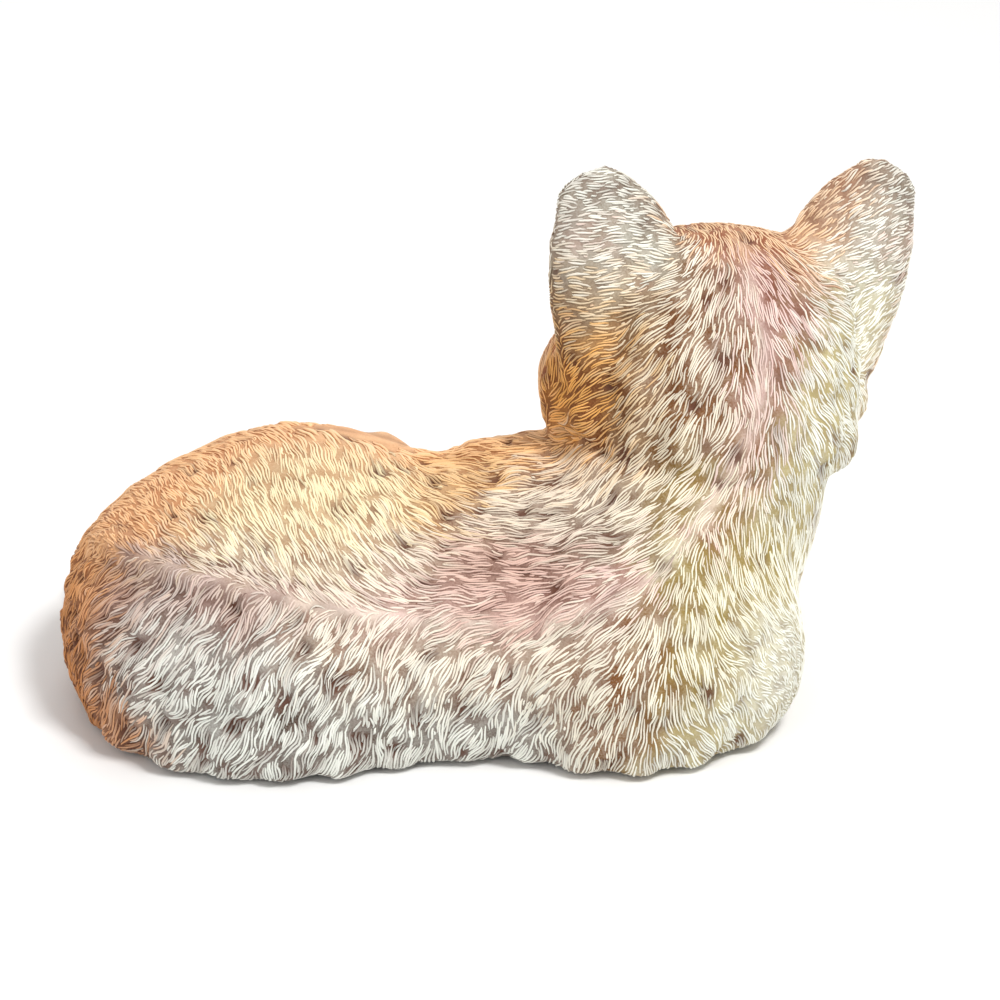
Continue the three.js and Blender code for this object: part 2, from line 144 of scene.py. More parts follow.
def give_values(mesh, name, values):
    """Stores one number or one colour per vertex."""
    if values.ndim == 2:
        made = mesh.attributes.new(name, "FLOAT_COLOR", "POINT")
        made.data.foreach_set("color", np.c_[values, np.ones(len(values))].astype(np.float32).ravel())
    else:
        made = mesh.attributes.new(name, "FLOAT", "POINT")
        made.data.foreach_set("value", values.astype(np.float32))


def values_of(mesh, name):
    """Numbers stored per vertex."""
    values = np.empty(len(mesh.vertices), np.float32)
    mesh.attributes[name].data.foreach_get("value", values)
    return values.astype(float)


def finder_of(points):
    """Search tree over points in millimetres."""
    tree = KDTree(len(points))
    for i, place in enumerate(points):
        tree.insert(place, i)
    tree.balance()
    return tree


print("helpers that read and store values are ready")

# %% Copies of the solids and their outer shell
SAME_POINT = 1e-6


def merged_copy(names):
    """Copies of CAD nodes in one bmesh, with their doubled corners merged."""
    shape = bmesh.new()
    for name in names:
        shape.from_mesh(nodes[name].data)
    bmesh.ops.remove_doubles(shape, verts=shape.verts, dist=SAME_POINT)
    return shape


def outer_shell(mesh):
    """Keeps the largest connected shell of a mesh, which is the outside of a hollow casting."""
    shape = bmesh.new()
    shape.from_mesh(mesh)
    left = set(shape.verts)
    shells = []
    while left:
        front = [left.pop()]
        shell = set(front)
        while front:
            vert = front.pop()
            for edge in vert.link_edges:
                other = edge.other_vert(vert)
                if other in left:
                    left.discard(other)
                    shell.add(other)
                    front.append(other)
        shells.append(shell)
    keep = max(shells, key=len)
    bmesh.ops.delete(shape, geom=[v for v in shape.verts if v not in keep], context="VERTS")
    return mesh_from(shape, mesh.name)


print("copies merge corners closer than", SAME_POINT, "m")

# %% Smooth a skin and keep its volume
STEP_IN = 0.5
STEP_OUT = -0.53


def relax(mesh, rounds):
    """Smooths out facets without losing volume: a step in, then a slightly larger step out."""
    points = points_of(mesh)
    ends = np.empty(len(mesh.edges) * 2, int)
    mesh.edges.foreach_get("vertices", ends)
    first, second = ends.reshape(-1, 2).T
    meeting = np.bincount(ends, minlength=len(points))[:, None]
    for step in (STEP_IN, STEP_OUT) * rounds:
        around = np.empty_like(points)
        for axis in range(3):
            around[:, axis] = np.bincount(first, points[second, axis], len(points))
            around[:, axis] += np.bincount(second, points[first, axis], len(points))
        points += step * (around / meeting - points)
    put_points(mesh, points)


print("each smoothing step of", STEP_IN, "is followed by one of", STEP_OUT)

# %% Wrap the solids in one skin
SKIN_VOXEL = 2.65 * MM
FACET_ROUNDS = 5
TUFT_ROUNDS = 60


def voxel_wrap(piece, size):
    """Rebuilds a piece as one skin of even faces."""
    wrap = piece.modifiers.new("wrap", "REMESH")
    wrap.mode = "VOXEL"
    wrap.voxel_size = size
    wrap.use_smooth_shade = True
    return settle(piece)


def wrapped(names, name):
    """An even skin round some CAD nodes, smooth but for their tufts, with the tufts' relief stored."""
    piece = voxel_wrap(link(name, mesh_from(merged_copy(names), name)), SKIN_VOXEL)
    piece.data = outer_shell(piece.data)
    relax(piece.data, FACET_ROUNDS)
    tufted = points_of(piece.data)
    relax(piece.data, TUFT_ROUNDS)
    relief = np.sum((tufted - points_of(piece.data)) * normals_of(piece.data), axis=1)
    give_values(piece.data, "relief", relief)
    put_points(piece.data, tufted)
    print(name, "relief from", relief.min().round(1), "to", relief.max().round(1), "mm")
    return piece


cat = wrapped(["body_casting", "head_casting", "base_board", "neck_dowel"], "cat_skin")
tail = wrapped(["tail_casting"], "tail_skin")
print("skin faces:", len(cat.data.polygons), "tail faces:", len(tail.data.polygons))

# %% [markdown]
# Even beds for the strokes.
# The wrapped faces are all about the same size, so they also tell where strokes may root: each face is a
# small bed that gets its share of strokes. Their middles are kept now, and then one level of subdivision
# makes the skin fine enough to shape.

# %% Keep the beds and refine the skin
def beds_of(mesh):
    """Middle of every face, in millimetres."""
    middle = np.empty(len(mesh.polygons) * 3)
    mesh.polygons.foreach_get("center", middle)
    return middle.reshape(-1, 3) / MM


def refine(piece):
    """One level of subdivision, applied."""
    finer = piece.modifiers.new("finer", "SUBSURF")
    finer.levels = 1
    finer.render_levels = 1
    return settle(piece)


cat_beds = beds_of(cat.data)
tail_beds = beds_of(tail.data)
refine(cat)
refine(tail)
print("beds:", len(cat_beds), "skin vertices:", len(cat.data.vertices))


# %% [markdown]
# Marks on the picture.
# The coat of the side that shows is combed by marks made on the picture: each is the root and the tip of
# one stroke. A mark is dropped along its line of sight onto the skin, so it lies on the cat from every
# side.

# %% Drop marks onto the skin
def surface_of(piece):
    """Search tree of a piece's mesh, in millimetres."""
    shape = bmesh.new()
    shape.from_mesh(piece.data)
    bmesh.ops.scale(shape, vec=(1 / MM, 1 / MM, 1 / MM), verts=shape.verts)
    tree = BVHTree.FromBMesh(shape)
    shape.free()
    return tree


CAT_DISTANCE = 1280.0
cat_surface = surface_of(cat)


def dropped(u, v):
    """Place in millimetres and facing of the skin under a point of the picture."""
    place, facing, _, _ = cat_surface.ray_cast(CAMERA_AT / MM, sight_line(u, v))
    if place is None:
        beside = CAMERA_AT / MM + sight_line(u, v) * CAT_DISTANCE
        place, facing, _, _ = cat_surface.find_nearest(beside)
    return np.array(place), np.array(facing)


print("the picture's middle falls on", dropped(PICTURE / 2, PICTURE / 2)[0].round())

# %% The head's own axes
NECK_JOINT = Vector((-80.0, -4.0, 84.0))
HEAD_TURN = Matrix.Rotation(math.radians(18), 4, "Z")
HEAD_LEAN = Matrix.Rotation(math.radians(-5), 4, "Y")
HEAD_FRAME = Matrix.Translation(NECK_JOINT) @ HEAD_TURN @ HEAD_LEAN


def head_point(x, y, z):
    """A place given from the neck joint, in the head's own axes, as a place in the row frame."""
    return np.array(HEAD_FRAME @ Vector((x, y, z)))


def head_way(x, y, z):
    """A direction given in the head's own axes."""
    return np.array(HEAD_FRAME.to_3x3() @ Vector((x, y, z)))


def nearest(place):
    """The skin nearest to a place in millimetres."""
    found, facing, _, _ = cat_surface.find_nearest(Vector(place))
    return np.array(found), np.array(facing)


print("the head's axes start at", NECK_JOINT[:])

# %% The line of the spine
SPINE_STEPS = 12
SPINE_MARKS = [(80, 533), (130, 556), (180, 575), (240, 592), (300, 605), (360, 614), (420, 620),
               (480, 623), (540, 622), (610, 606), (660, 572), (700, 520), (735, 470), (757, 420),
               (765, 350), (750, 270), (735, 232)]


def along(marks, steps):
    """Points spread evenly between marks on the picture, dropped onto the skin."""
    spread = []
    for (u0, v0), (u1, v1) in zip(marks, marks[1:]):
        spread += [(u0 + (u1 - u0) * k / steps, v0 + (v1 - v0) * k / steps) for k in range(steps)]
    return np.array([dropped(u, v)[0] for u, v in spread])


spine = along(SPINE_MARKS, SPINE_STEPS)
print("spine points:", len(spine), "from", spine[0].round(), "to", spine[-1].round())

# %% [markdown]
# The ridge of the back.
# Along the hips the back rises to a sharp line, with the near flank in shade below it, and towards the
# shoulders it fades into the coat. The solid has this ridge as a round bead. A sculptor would pinch it
# sharp; here every vertex near the line is moved out along its normal, most on the line itself.

# %% Pinch up the ridge
RIDGE_HEIGHT = 2.0
RIDGE_WIDTH = 4.0
RIDGE_END = 0.52
RIDGE_FADE = 0.35
spine_tree = finder_of(spine)


def from_spine(points):
    """Distance to the spine in mm, and how far along it: 0 at the rump, 1 at the crown."""
    found = [spine_tree.find(p) for p in points]
    return np.array([f[2] for f in found]), np.array([f[1] for f in found]) / len(spine)


skin_points = points_of(cat.data)
away, share = from_spine(skin_points)
fade = np.clip((RIDGE_END - share) / RIDGE_FADE, 0, 1)
rise = RIDGE_HEIGHT * fade * np.exp(-away / RIDGE_WIDTH)
put_points(cat.data, skin_points + normals_of(cat.data) * rise[:, None])
cat_surface = surface_of(cat)
print("ridge rises up to", round(rise.max(), 1), "mm")

# %% [markdown]
# Mouth and toes.
# The face isn't in the picture, so it is a plain cat's: a line runs down from the nose to a mouth whose
# corners turn up, and three grooves part the toes of each paw. A sculptor would press them in with a loop
# tool; here points are laid along each line, and the skin around them is pushed in.

# %% Lines of the mouth and the toes
PRESS_DEPTH = 1.7
PRESS_WIDTH = 1.5
PAW_ROUND = 17.0
TOE_PITCH = 8.0
TOE_SWEEP = np.radians(np.arange(-5, 96, 3))
MOUTH_STEP = 0.12
MOUTH = [(0, -74, 24), (0, -72, 17), (5, -70, 13.5), (11, -65, 12), (17, -58, 14)]
PAWS = [((-53, -98, 14), (0, -1)), ((-94, -90, 14), (0, -1)), ((24, -73, 13), (-0.97, -0.26)),
        ((-8, -63, 13), (-0.94, -0.33))]


def mouth_line(side):
    """Points close together along one half of the mouth, on the skin."""
    line = []
    for start, stop in zip(np.array(MOUTH), np.array(MOUTH[1:])):
        for share in np.arange(0, 1, MOUTH_STEP):
            x, y, z = start + (stop - start) * share
            line.append(nearest(head_point(side * x, y, z))[0])
    return line


def toe_lines(tip, way):
    """Points along the three grooves over the front of a paw, on the skin."""
    tip, ahead = np.array(tip, float), np.array((*way, 0.0))
    beside = np.cross(ahead, (0, 0, 1))
    line = []
    for aside in (-TOE_PITCH, 0, TOE_PITCH):
        for angle in TOE_SWEEP:
            reach = ahead * math.sin(angle) + np.array((0, 0, math.cos(angle)))
            line.append(nearest(tip + beside * aside + reach * PAW_ROUND)[0])
    return line


print("three grooves on each of", len(PAWS), "paws")

# %% Press the skin in along the lines
pressed = mouth_line(1) + mouth_line(-1)
for tip, way in PAWS:
    pressed += toe_lines(tip, way)
pressed_finder = finder_of(pressed)
skin_points = points_of(cat.data)
away = np.array([pressed_finder.find(p)[2] for p in skin_points])
press = PRESS_DEPTH * np.exp(-((away / PRESS_WIDTH) ** 2))
put_points(cat.data, skin_points - normals_of(cat.data) * press[:, None])
cat_surface = surface_of(cat)
print("points along the grooves:", len(pressed))

# %% [markdown]
# Where the eyes and the nose go.
# The eyes are glass domes in drilled seats, and the nose is a smooth pad, so no fur is carved there. The
# CAD model gives the eyes' places in the head's own axes. Forms for an eye are made along +Z and turned
# to look out of it.

# %% Smooth spots for eyes and nose
EYE_AT = (20.0, -55.0, 37.0)
EYE_SPREAD = 20.0
EYE_RADIUS = 9.5
EYE_DOME = 5.5
EYE_EDGE = 1.5
NOSE_AT = (0.0, -70.0, 28.0)
LID_OUTER = 13.0
LID_TUCK = 0.6
NOSE_CLEAR = 7.0


def eye_frame(side):
    """Turns a form made along +Z so that it looks out of one eye."""
    turn = Matrix.Rotation(math.radians(side * EYE_SPREAD), 4, "Z") @ Matrix.Rotation(math.pi / 2, 4, "X")
    x, y, z = EYE_AT
    return HEAD_FRAME @ Matrix.Translation(Vector((side * x, y, z))) @ turn


smooth_spots = [(eye_frame(side).translation, LID_OUTER - LID_TUCK) for side in (1, -1)]
smooth_spots.append((Vector(head_point(*NOSE_AT)), NOSE_CLEAR))
print("eyes at", [[round(x) for x in eye_frame(side).translation] for side in (1, -1)])

# %% [markdown]
# Kinds of coat.
# Each part of the cat was carved with its own stroke: long and loose on the flank, straight over the
# haunch, fine on ears, face and paws; one patch on top is left bare. A kind lists the stroke's length,
# the pitch from stroke to stroke, how high the locks stand, by how many degrees the strokes wave, how
# much of the pitch half a stroke may fill, and how far the skin between the strokes is brushed pale.

# %% Kinds of stroke
LENGTH, PITCH, TALL, WAVE, FILL, PALE = range(6)
KINDS = {
    "haunch": (20.0, 1.20, 0.8, 14.0, 0.62, 0.30),
    "spine": (18.0, 1.10, 0.2, 8.0, 0.62, 0.35),
    "saddle": (17.0, 1.20, 1.1, 26.0, 0.60, 0.20),
    "flank": (18.0, 1.25, 1.5, 30.0, 0.58, 0.15),
    "shoulder": (20.0, 1.25, 0.8, 20.0, 0.46, 0.00),
    "elbow": (5.0, 1.20, 0.1, 45.0, 0.55, 0.45),
    "nape": (20.0, 1.25, 0.9, 20.0, 0.46, 0.00),
    "crown": (18.0, 1.20, 0.8, 18.0, 0.46, 0.00),
    "ear": (8.0, 1.25, 0.1, 18.0, 0.55, 0.30),
    "face": (6.0, 1.20, 0.1, 10.0, 0.55, 0.35),
    "leg": (10.0, 1.40, 0.4, 14.0, 0.55, 0.30),
    "paw": (6.0, 1.30, 0.1, 10.0, 0.60, 0.35),
    "rump": (11.0, 1.25, 1.9, 40.0, 0.52, 0.10),
    "chest": (15.0, 1.55, 1.1, 18.0, 0.48, 0.15),
    "tail": (15.0, 1.50, 1.0, 20.0, 0.55, 0.20),
    "bare": (6.0, 6.00, 0.0, 0.0, 0.30, 0.60),
}
BARE_PITCH = 3.2
print("kinds of stroke:", len(KINDS), "and nothing is carved where the pitch is over", BARE_PITCH, "mm")

# %% Strokes marked on the picture, root and tip
MARKED = {
    "haunch": [
        (150, 556, 128, 540), (200, 566, 172, 540), (250, 580, 222, 552), (300, 592, 270, 566),
        (350, 602, 318, 578), (120, 528, 100, 520), (160, 530, 138, 506), (210, 535, 188, 505),
        (260, 545, 238, 512), (310, 555, 288, 522), (345, 552, 322, 520), (390, 575, 360, 550),
        (180, 495, 160, 475), (230, 500, 212, 470), (280, 505, 262, 472), (332, 525, 314, 490),
        (250, 460, 235, 440), (300, 462, 288, 432), (350, 480, 335, 450), (390, 520, 368, 490),
        (410, 485, 390, 462), (370, 455, 355, 432)],
    "spine": [(640, 590, 600, 606), (580, 617, 540, 623), (500, 624, 455, 622), (440, 622, 395, 616)],
    "saddle": [
        (495, 535, 452, 526), (478, 598, 428, 592), (560, 592, 515, 598), (520, 470, 470, 478),
        (560, 440, 520, 445), (595, 548, 550, 556), (440, 500, 405, 490), (460, 470, 430, 470),
        (450, 560, 408, 548), (520, 560, 475, 556), (600, 580, 560, 590), (545, 510, 505, 515),
        (580, 485, 545, 505), (620, 520, 585, 540)],
    "flank": [
        (185, 572, 168, 602), (140, 570, 120, 592), (230, 590, 212, 622), (290, 612, 268, 648),
        (350, 622, 330, 660), (410, 632, 388, 670), (470, 634, 448, 672), (530, 634, 508, 668),
        (590, 622, 562, 655), (130, 620, 108, 640), (180, 630, 160, 660), (240, 650, 220, 684),
        (300, 670, 280, 706), (360, 680, 342, 716), (420, 690, 402, 726), (480, 690, 460, 724),
        (540, 685, 518, 715), (600, 670, 565, 705), (110, 665, 92, 690), (150, 680, 128, 705),
        (200, 700, 182, 730), (260, 715, 246, 748), (330, 730, 318, 762), (400, 735, 390, 765),
        (470, 730, 458, 758), (540, 728, 526, 758), (180, 735, 165, 752)],
    "shoulder": [
        (690, 545, 660, 590), (655, 600, 643, 645), (690, 600, 694, 645), (620, 625, 590, 665),
        (722, 545, 732, 590), (752, 580, 765, 620), (672, 665, 668, 712), (725, 655, 748, 700),
        (632, 735, 622, 770), (715, 600, 725, 645), (700, 690, 704, 735), (640, 680, 628, 722),
        (680, 740, 682, 772), (730, 720, 745, 745), (770, 540, 785, 585), (785, 560, 793, 600),
        (650, 560, 622, 582)],
    "bare": [(335, 430, 328, 427), (355, 433, 348, 430), (375, 438, 368, 435), (395, 443, 388, 440)],
    "elbow": [(770, 640, 795, 662), (775, 670, 792, 690), (758, 690, 775, 712), (748, 660, 768, 690)],
    "nape": [
        (715, 490, 675, 535), (745, 470, 728, 515), (775, 480, 787, 525), (705, 455, 680, 495),
        (650, 425, 618, 460), (690, 430, 668, 468), (735, 420, 722, 462), (765, 420, 768, 465),
        (795, 430, 808, 470), (818, 450, 826, 490), (640, 470, 605, 500), (670, 500, 635, 530),
        (800, 500, 806, 545)],
    "crown": [
        (712, 305, 688, 352), (662, 355, 634, 402), (684, 255, 662, 300), (640, 300, 606, 330),
        (705, 238, 692, 262), (708, 380, 690, 430), (745, 300, 735, 345), (755, 360, 746, 405),
        (770, 280, 796, 306), (788, 345, 815, 390), (825, 315, 850, 340), (818, 385, 835, 425),
        (775, 330, 792, 372), (770, 390, 782, 432), (750, 245, 752, 285), (785, 255, 806, 272),
        (835, 360, 852, 395), (605, 370, 568, 390), (590, 410, 558, 425), (620, 400, 590, 425)],
    "ear": [
        (620, 212, 575, 216), (605, 275, 562, 280), (655, 245, 625, 235), (620, 322, 575, 312),
        (610, 185, 580, 185), (650, 280, 615, 278), (640, 215, 605, 212), (600, 245, 560, 250),
        (835, 228, 870, 200), (875, 220, 905, 205), (848, 268, 882, 262), (860, 192, 892, 170),
        (812, 232, 840, 212), (830, 260, 862, 245), (865, 300, 885, 285), (880, 240, 908, 230)],
}
guides = []
for kind, marks in MARKED.items():
    for u0, v0, u1, v1 in marks:
        root, facing = dropped(u0, v0)
        tip, _ = dropped(u1, v1)
        guides.append((root, facing, tip - root, kind))
print("guides on the side that shows:", len(guides))

# %% [markdown]
# Combing the sides that the picture doesn't show.
# Fur lies away from the nose, over the skull, down the chest, along each leg to its paw and round the
# haunch, so these guides follow the way it grows on any cat. Each is a place and a direction; the head's
# are given in the head's own axes and mirrored.

# %% Guides for the unseen sides
UNSEEN = [
    ("chest", (-75, -56, 50), (0, -0.15, -1)), ("chest", (-98, -42, 50), (-0.15, -0.1, -1)),
    ("chest", (-52, -50, 50), (0.25, -0.1, -1)), ("chest", (-75, -58, 30), (0, -0.3, -1)),
    ("chest", (-115, -10, 62), (-0.1, 0.1, -1)), ("chest", (-110, 15, 45), (0, 0.15, -1)),
    ("flank", (-20, -45, 50), (0.75, -0.25, -0.5)), ("flank", (10, -40, 45), (0.85, -0.2, -0.4)),
    ("saddle", (-15, -15, 82), (0.9, -0.4, -0.1)), ("saddle", (15, -10, 76), (0.9, -0.4, -0.1)),
    ("haunch", (67, -25, 84), (0.55, -0.8, -0.1)), ("haunch", (100, -25, 74), (0.6, -0.7, -0.3)),
    ("haunch", (60, -55, 70), (0.45, -0.6, -0.6)), ("haunch", (40, -62, 50), (0.3, -0.3, -0.9)),
    ("haunch", (78, -68, 45), (0.45, -0.3, -0.8)), ("haunch", (105, -55, 45), (0.6, -0.3, -0.7)),
    ("leg", (20, -50, 30), (-0.2, -0.4, -0.9)), ("leg", (0, -46, 25), (0.3, -0.4, -0.8)),
    ("rump", (149, 5, 30), (0.1, -0.1, -1)), ("rump", (142, 30, 35), (0.3, 0.1, -0.9)),
    ("rump", (138, -35, 40), (0.4, -0.4, -0.8)), ("rump", (148, 0, 12), (0, -0.1, -1)),
    ("leg", (-42, -62, 34), (-0.2, -1, -0.15)), ("leg", (-30, -70, 20), (-0.2, -1, -0.15)),
    ("leg", (-60, -70, 20), (-0.1, -1, -0.15)), ("paw", (-53, -102, 29), (0, -1, -0.3)),
    ("leg", (-93, -48, 34), (0, -1, -0.15)), ("leg", (-110, -50, 20), (0, -1, -0.2)),
    ("leg", (-78, -60, 20), (0, -1, -0.2)), ("paw", (-94, -96, 29), (0, -1, -0.3)),
    ("paw", (-53, -114, 15), (0, -0.3, -1)), ("paw", (-94, -106, 15), (0, -0.3, -1)),
    ("leg", (70, -64, 33), (-1, -0.3, -0.1)), ("leg", (54, -70, 29), (-1, -0.25, -0.1)),
    ("paw", (24, -75, 25), (-1, -0.1, -0.2)), ("leg", (20, -56, 27), (-1, -0.3, -0.1)),
    ("paw", (-8, -64, 24), (-1, -0.3, -0.2)), ("leg", (50, -82, 15), (-1, -0.2, -0.1)),
]
UNSEEN_HEAD = [
    ("face", (0, -62, 44), (0, 0.5, 0.9)), ("face", (8, -56, 52), (0.25, 0.35, 0.9)),
    ("face", (18, -54, 57), (0.45, 0.35, 0.8)), ("crown", (0, -46, 66), (0, 0.6, 0.8)),
    ("crown", (18, -38, 70), (0.25, 0.8, 0.5)), ("crown", (0, -25, 75), (0, 1, 0.2)),
    ("crown", (0, -5, 77), (0, 1, -0.05)), ("face", (20, -56, 23), (0.8, 0.4, -0.3)),
    ("face", (12, -66, 20), (0.85, 0.4, -0.35)), ("face", (0, -62, 6), (0, 0.6, -0.8)),
    ("face", (12, -55, 8), (0.5, 0.5, -0.6)), ("face", (36, -46, 30), (0.8, 0.6, -0.1)),
    ("crown", (44, -38, 18), (0.65, 0.6, -0.45)), ("crown", (55, -22, 16), (0.3, 0.8, -0.5)),
    ("crown", (50, -12, 34), (0.2, 0.8, -0.5)), ("face", (38, -40, 46), (0.6, 0.7, 0.25)),
    ("nape", (40, -25, 2), (0.5, 0.3, -0.7)), ("ear", (36, -14, 56), (0.3, 0.0, 1)),
    ("ear", (48, -13, 72), (0.3, 0.0, 1)), ("ear", (52, -11, 86), (0.2, 0.0, 1)),
    ("ear", (60, -10, 62), (0.3, 0.2, 0.9)), ("ear", (24, -12, 66), (0.2, 0.2, 0.9)),
]
for kind, place, way in UNSEEN:
    at, facing = nearest(place)
    guides.append((at, facing, np.array(way, float), kind))
for kind, (x, y, z), (dx, dy, dz) in UNSEEN_HEAD:
    for side in (1, -1):
        at, facing = nearest(head_point(side * x, y, z))
        guides.append((at, facing, head_way(side * dx, dy, dz), kind))

guide_at = np.array([g[0] for g in guides])
guide_facing = np.array([g[1] for g in guides])
guide_way = np.array([g[2] / np.linalg.norm(g[2]) for g in guides])
guide_kind = np.array([KINDS[g[3]] for g in guides])
print("guides in all:", len(guides))

# %% [markdown]
# The comb.
# Between the guides the coat turns smoothly, so every point of the skin takes the direction and the
# stroke of the guides around it: near ones count most, and only those that face the same way, because the
# two sides of an ear are close together. The direction is then laid flat on the skin.

# %% Comb direction and stroke anywhere on the skin
COMB_REACH = 9.0
COMB_FAR = 45.0
LEAST_PULL = 1e-12
FAR_PULL = 1e-3
LEAST_FACING = 0.03
FACING_POWER = 3
ROWS_AT_ONCE = 20000
NO_LENGTH = 1e-9


def unit(rows):
    """Rows scaled to length one."""
    return rows / np.maximum(np.linalg.norm(rows, axis=-1, keepdims=True), NO_LENGTH)


def laid_flat(ways, facing):
    """Directions projected onto the skin."""
    return unit(ways - np.sum(ways * facing, axis=1)[:, None] * facing)


def cat_comb(points, facing):
    """Direction along the skin and stroke values at points of the cat."""
    ways = np.empty_like(points)
    kinds = np.empty((len(points), guide_kind.shape[1]))
    for start in range(0, len(points), ROWS_AT_ONCE):
        part = slice(start, start + ROWS_AT_ONCE)
        here = points[part]
        square = np.sum(here**2, 1)[:, None] + np.sum(guide_at**2, 1) - 2 * here @ guide_at.T
        near = np.exp(-square / (2 * COMB_REACH**2))
        far = np.exp(-square / (2 * COMB_FAR**2))
        pull = near + FAR_PULL * far + LEAST_PULL
        pull *= np.clip(facing[part] @ guide_facing.T, LEAST_FACING, 1) ** FACING_POWER
        ways[part] = pull @ guide_way
        kinds[part] = pull @ guide_kind / pull.sum(1)[:, None]
    return laid_flat(ways, facing), kinds


ways, kinds = cat_comb(points_of(cat.data), normals_of(cat.data))
print("stroke length from", kinds[:, LENGTH].min().round(1), "to", kinds[:, LENGTH].max().round(1), "mm")

# %% Comb of the tail
TAIL_REACH = 18.0
TAIL_PATH = np.array([(128, -34, 18), (136, -58, 17), (122, -83, 16), (94, -95, 15), (52, -102, 14),
                      (14, -101, 13), (-8, -95, 12), (-20, -92, 12)], float)


def tail_comb(points, facing):
    """Direction towards the tip of the tail, and the tail's stroke."""
    middles = (TAIL_PATH[1:] + TAIL_PATH[:-1]) / 2
    runs = unit(TAIL_PATH[1:] - TAIL_PATH[:-1])
    square = ((points[:, None, :] - middles) ** 2).sum(2)
    ways = np.exp(-square / (2 * TAIL_REACH**2)) @ runs
    return laid_flat(ways, facing), np.tile(KINDS["tail"], (len(points), 1))


print("the tail is combed along", len(TAIL_PATH), "points")

# %% [markdown]
# Locks.
# The coat isn't even: strokes gather into locks that lie over each other like shingles, each rising
# towards its tip and dropping to a dark pit behind it. The large tufts are in the solid already. Smaller
# locks go on top: seeds are scattered over the skin, every vertex is lifted by the highest lock it lies
# in, and where a tip ends over low ground the skin is marked as a pit. The paint darkens pits, and the
# hollows between the solid's tufts, as painted shade that is partly a pooled wash.

# %% Sizes and seeds of locks
LOCK_LONG = 1.5
LOCK_WIDE = 0.5
LOCK_ROOT = 0.6
LOCK_GAP = 0.7
LOCK_TRIES = 12000
LOCK_SIZES = (0.7, 1.25)
LOCK_HEIGHTS = (0.2, 1.25)
LOCK_REACH = 0.85
SAME_SIDE = 0.2
ROOT_WIDE = 1.15
TAPER = 0.65
TAPER_ENDS = (0.3, 1.2)
LIFT_POWER = 1.5
TIP_AT = 1.08
TIP_SHORT = 0.16
PIT_AT = 1.16
PIT_LONG = 0.18
PIT_GAIN = 1.6
PIT_FILLED = 0.55
PIT_FULL = 1.2
PIT_DEPTH = 0.9
HOLLOW_SHADE_SHARE = 2.0


def scattered(points, gap, tries):
    """Indices of points at least a gap apart, in a fixed random order."""
    kept = []
    for i in chance.permutation(len(points))[:tries]:
        if not kept or np.min(np.sum((points[kept] - points[i]) ** 2, axis=1)) > gap[i] ** 2:
            kept.append(i)
    return np.array(kept)


print("locks are", LOCK_LONG, "strokes long and", LOCK_WIDE, "strokes wide")

# %% Lift every vertex by the highest lock it lies in
def raise_locks(piece, comb):
    """Shapes a skin's locks; returns how high each vertex was lifted and how far it is in a pit."""
    points = points_of(piece.data)
    facing = normals_of(piece.data)
    ways, kinds = comb(points, facing)
    seeds = scattered(points, kinds[:, LENGTH] * LOCK_GAP, LOCK_TRIES)
    finder = finder_of(points)
    height = np.zeros(len(points))
    pit = np.zeros(len(points))
    for seed in seeds:
        size = chance.uniform(*LOCK_SIZES)
        long = kinds[seed, LENGTH] * LOCK_LONG * size
        wide = kinds[seed, LENGTH] * LOCK_WIDE * size
        tall = kinds[seed, TALL] * chance.uniform(*LOCK_HEIGHTS)
        near = np.array([found[1] for found in finder.find_range(points[seed], long * LOCK_REACH)])
        near = near[facing[near] @ facing[seed] > SAME_SIDE]
        offset = points[near] - points[seed]
        across = np.cross(facing[seed], ways[seed])
        t = offset @ ways[seed] / long + LOCK_ROOT
        v = offset @ across / (wide * np.clip(ROOT_WIDE - TAPER * t, *TAPER_ENDS))
        side = np.clip(1 - np.abs(v) ** 2, 0, 1)
        slope = np.clip(t, 0, 1) ** LIFT_POWER
        lift = tall * slope * np.clip((TIP_AT - t) / TIP_SHORT, 0, 1) * side
        height[near] = np.maximum(height[near], lift)
        fall = PIT_GAIN * tall * np.clip(1 - np.abs(t - PIT_AT) / PIT_LONG, 0, 1) * side
        pit[near] = np.maximum(pit[near], fall)
    pit = np.clip(pit - PIT_FILLED * height, 0, None)
    put_points(piece.data, points + facing * (height - PIT_DEPTH * pit)[:, None])
    # Painted shade, partly a pooled wash: hollows between the solid's tufts count as pits, to be darkened
    relief = values_of(piece.data, "relief")
    pit += HOLLOW_SHADE_SHARE * np.clip(-relief, 0, None)
    return height + np.clip(relief, 0, None), np.clip(pit / PIT_FULL, 0, 1)


cat_height, cat_pit = raise_locks(cat, cat_comb)
tail_height, tail_pit = raise_locks(tail, tail_comb)
print("highest lock:", cat_height.max().round(2), "mm")

# %% [markdown]
# Laying the strokes.
# A carver lays stroke beside stroke at an even pitch. Each stroke here is walked along the comb in small
# steps over the shaped skin. It begins only where there is room, and ends where it would touch its
# neighbour, runs over the ledge of a lock, or is long enough. Slow noise bends the comb a little, so
# neighbours wave together.

# %% Values of a stroke
STROKE_POINTS = 9
STEP = 0.8
CELL = 2.4
TRIES = 8
WAVE_SIZE = 7.0
WAVE_GAIN = 1.7
LEDGE = 0.3
STUCK = 0.4
BED_SPREAD = 1.1
LUCK = (0.65, 1.3)
BACK_SHARE = 0.4
SEED_ROOM = 0.56
BACK_ROOM = 0.44
AHEAD_ROOM = 0.4
SHORTEST = (0.35, 0.15)
FEWEST_STEPS = 3
UNDERSIDE = -0.75
LOWEST_ROOT = 3.0
Walked = namedtuple("Walked", "steps pitch deep high fill")
print("a stroke is walked in steps of", STEP, "mm and kept as", STROKE_POINTS, "points")


# %% Room for a stroke
def turned(ways, facing, angle):
    """Directions turned about the skin's normal, in radians."""
    return ways * np.cos(angle)[:, None] + np.cross(facing, ways) * np.sin(angle)[:, None]


def cell_of(place):
    """The cell of a coarse grid that a place lies in."""
    return math.floor(place.x / CELL), math.floor(place.y / CELL), math.floor(place.z / CELL)


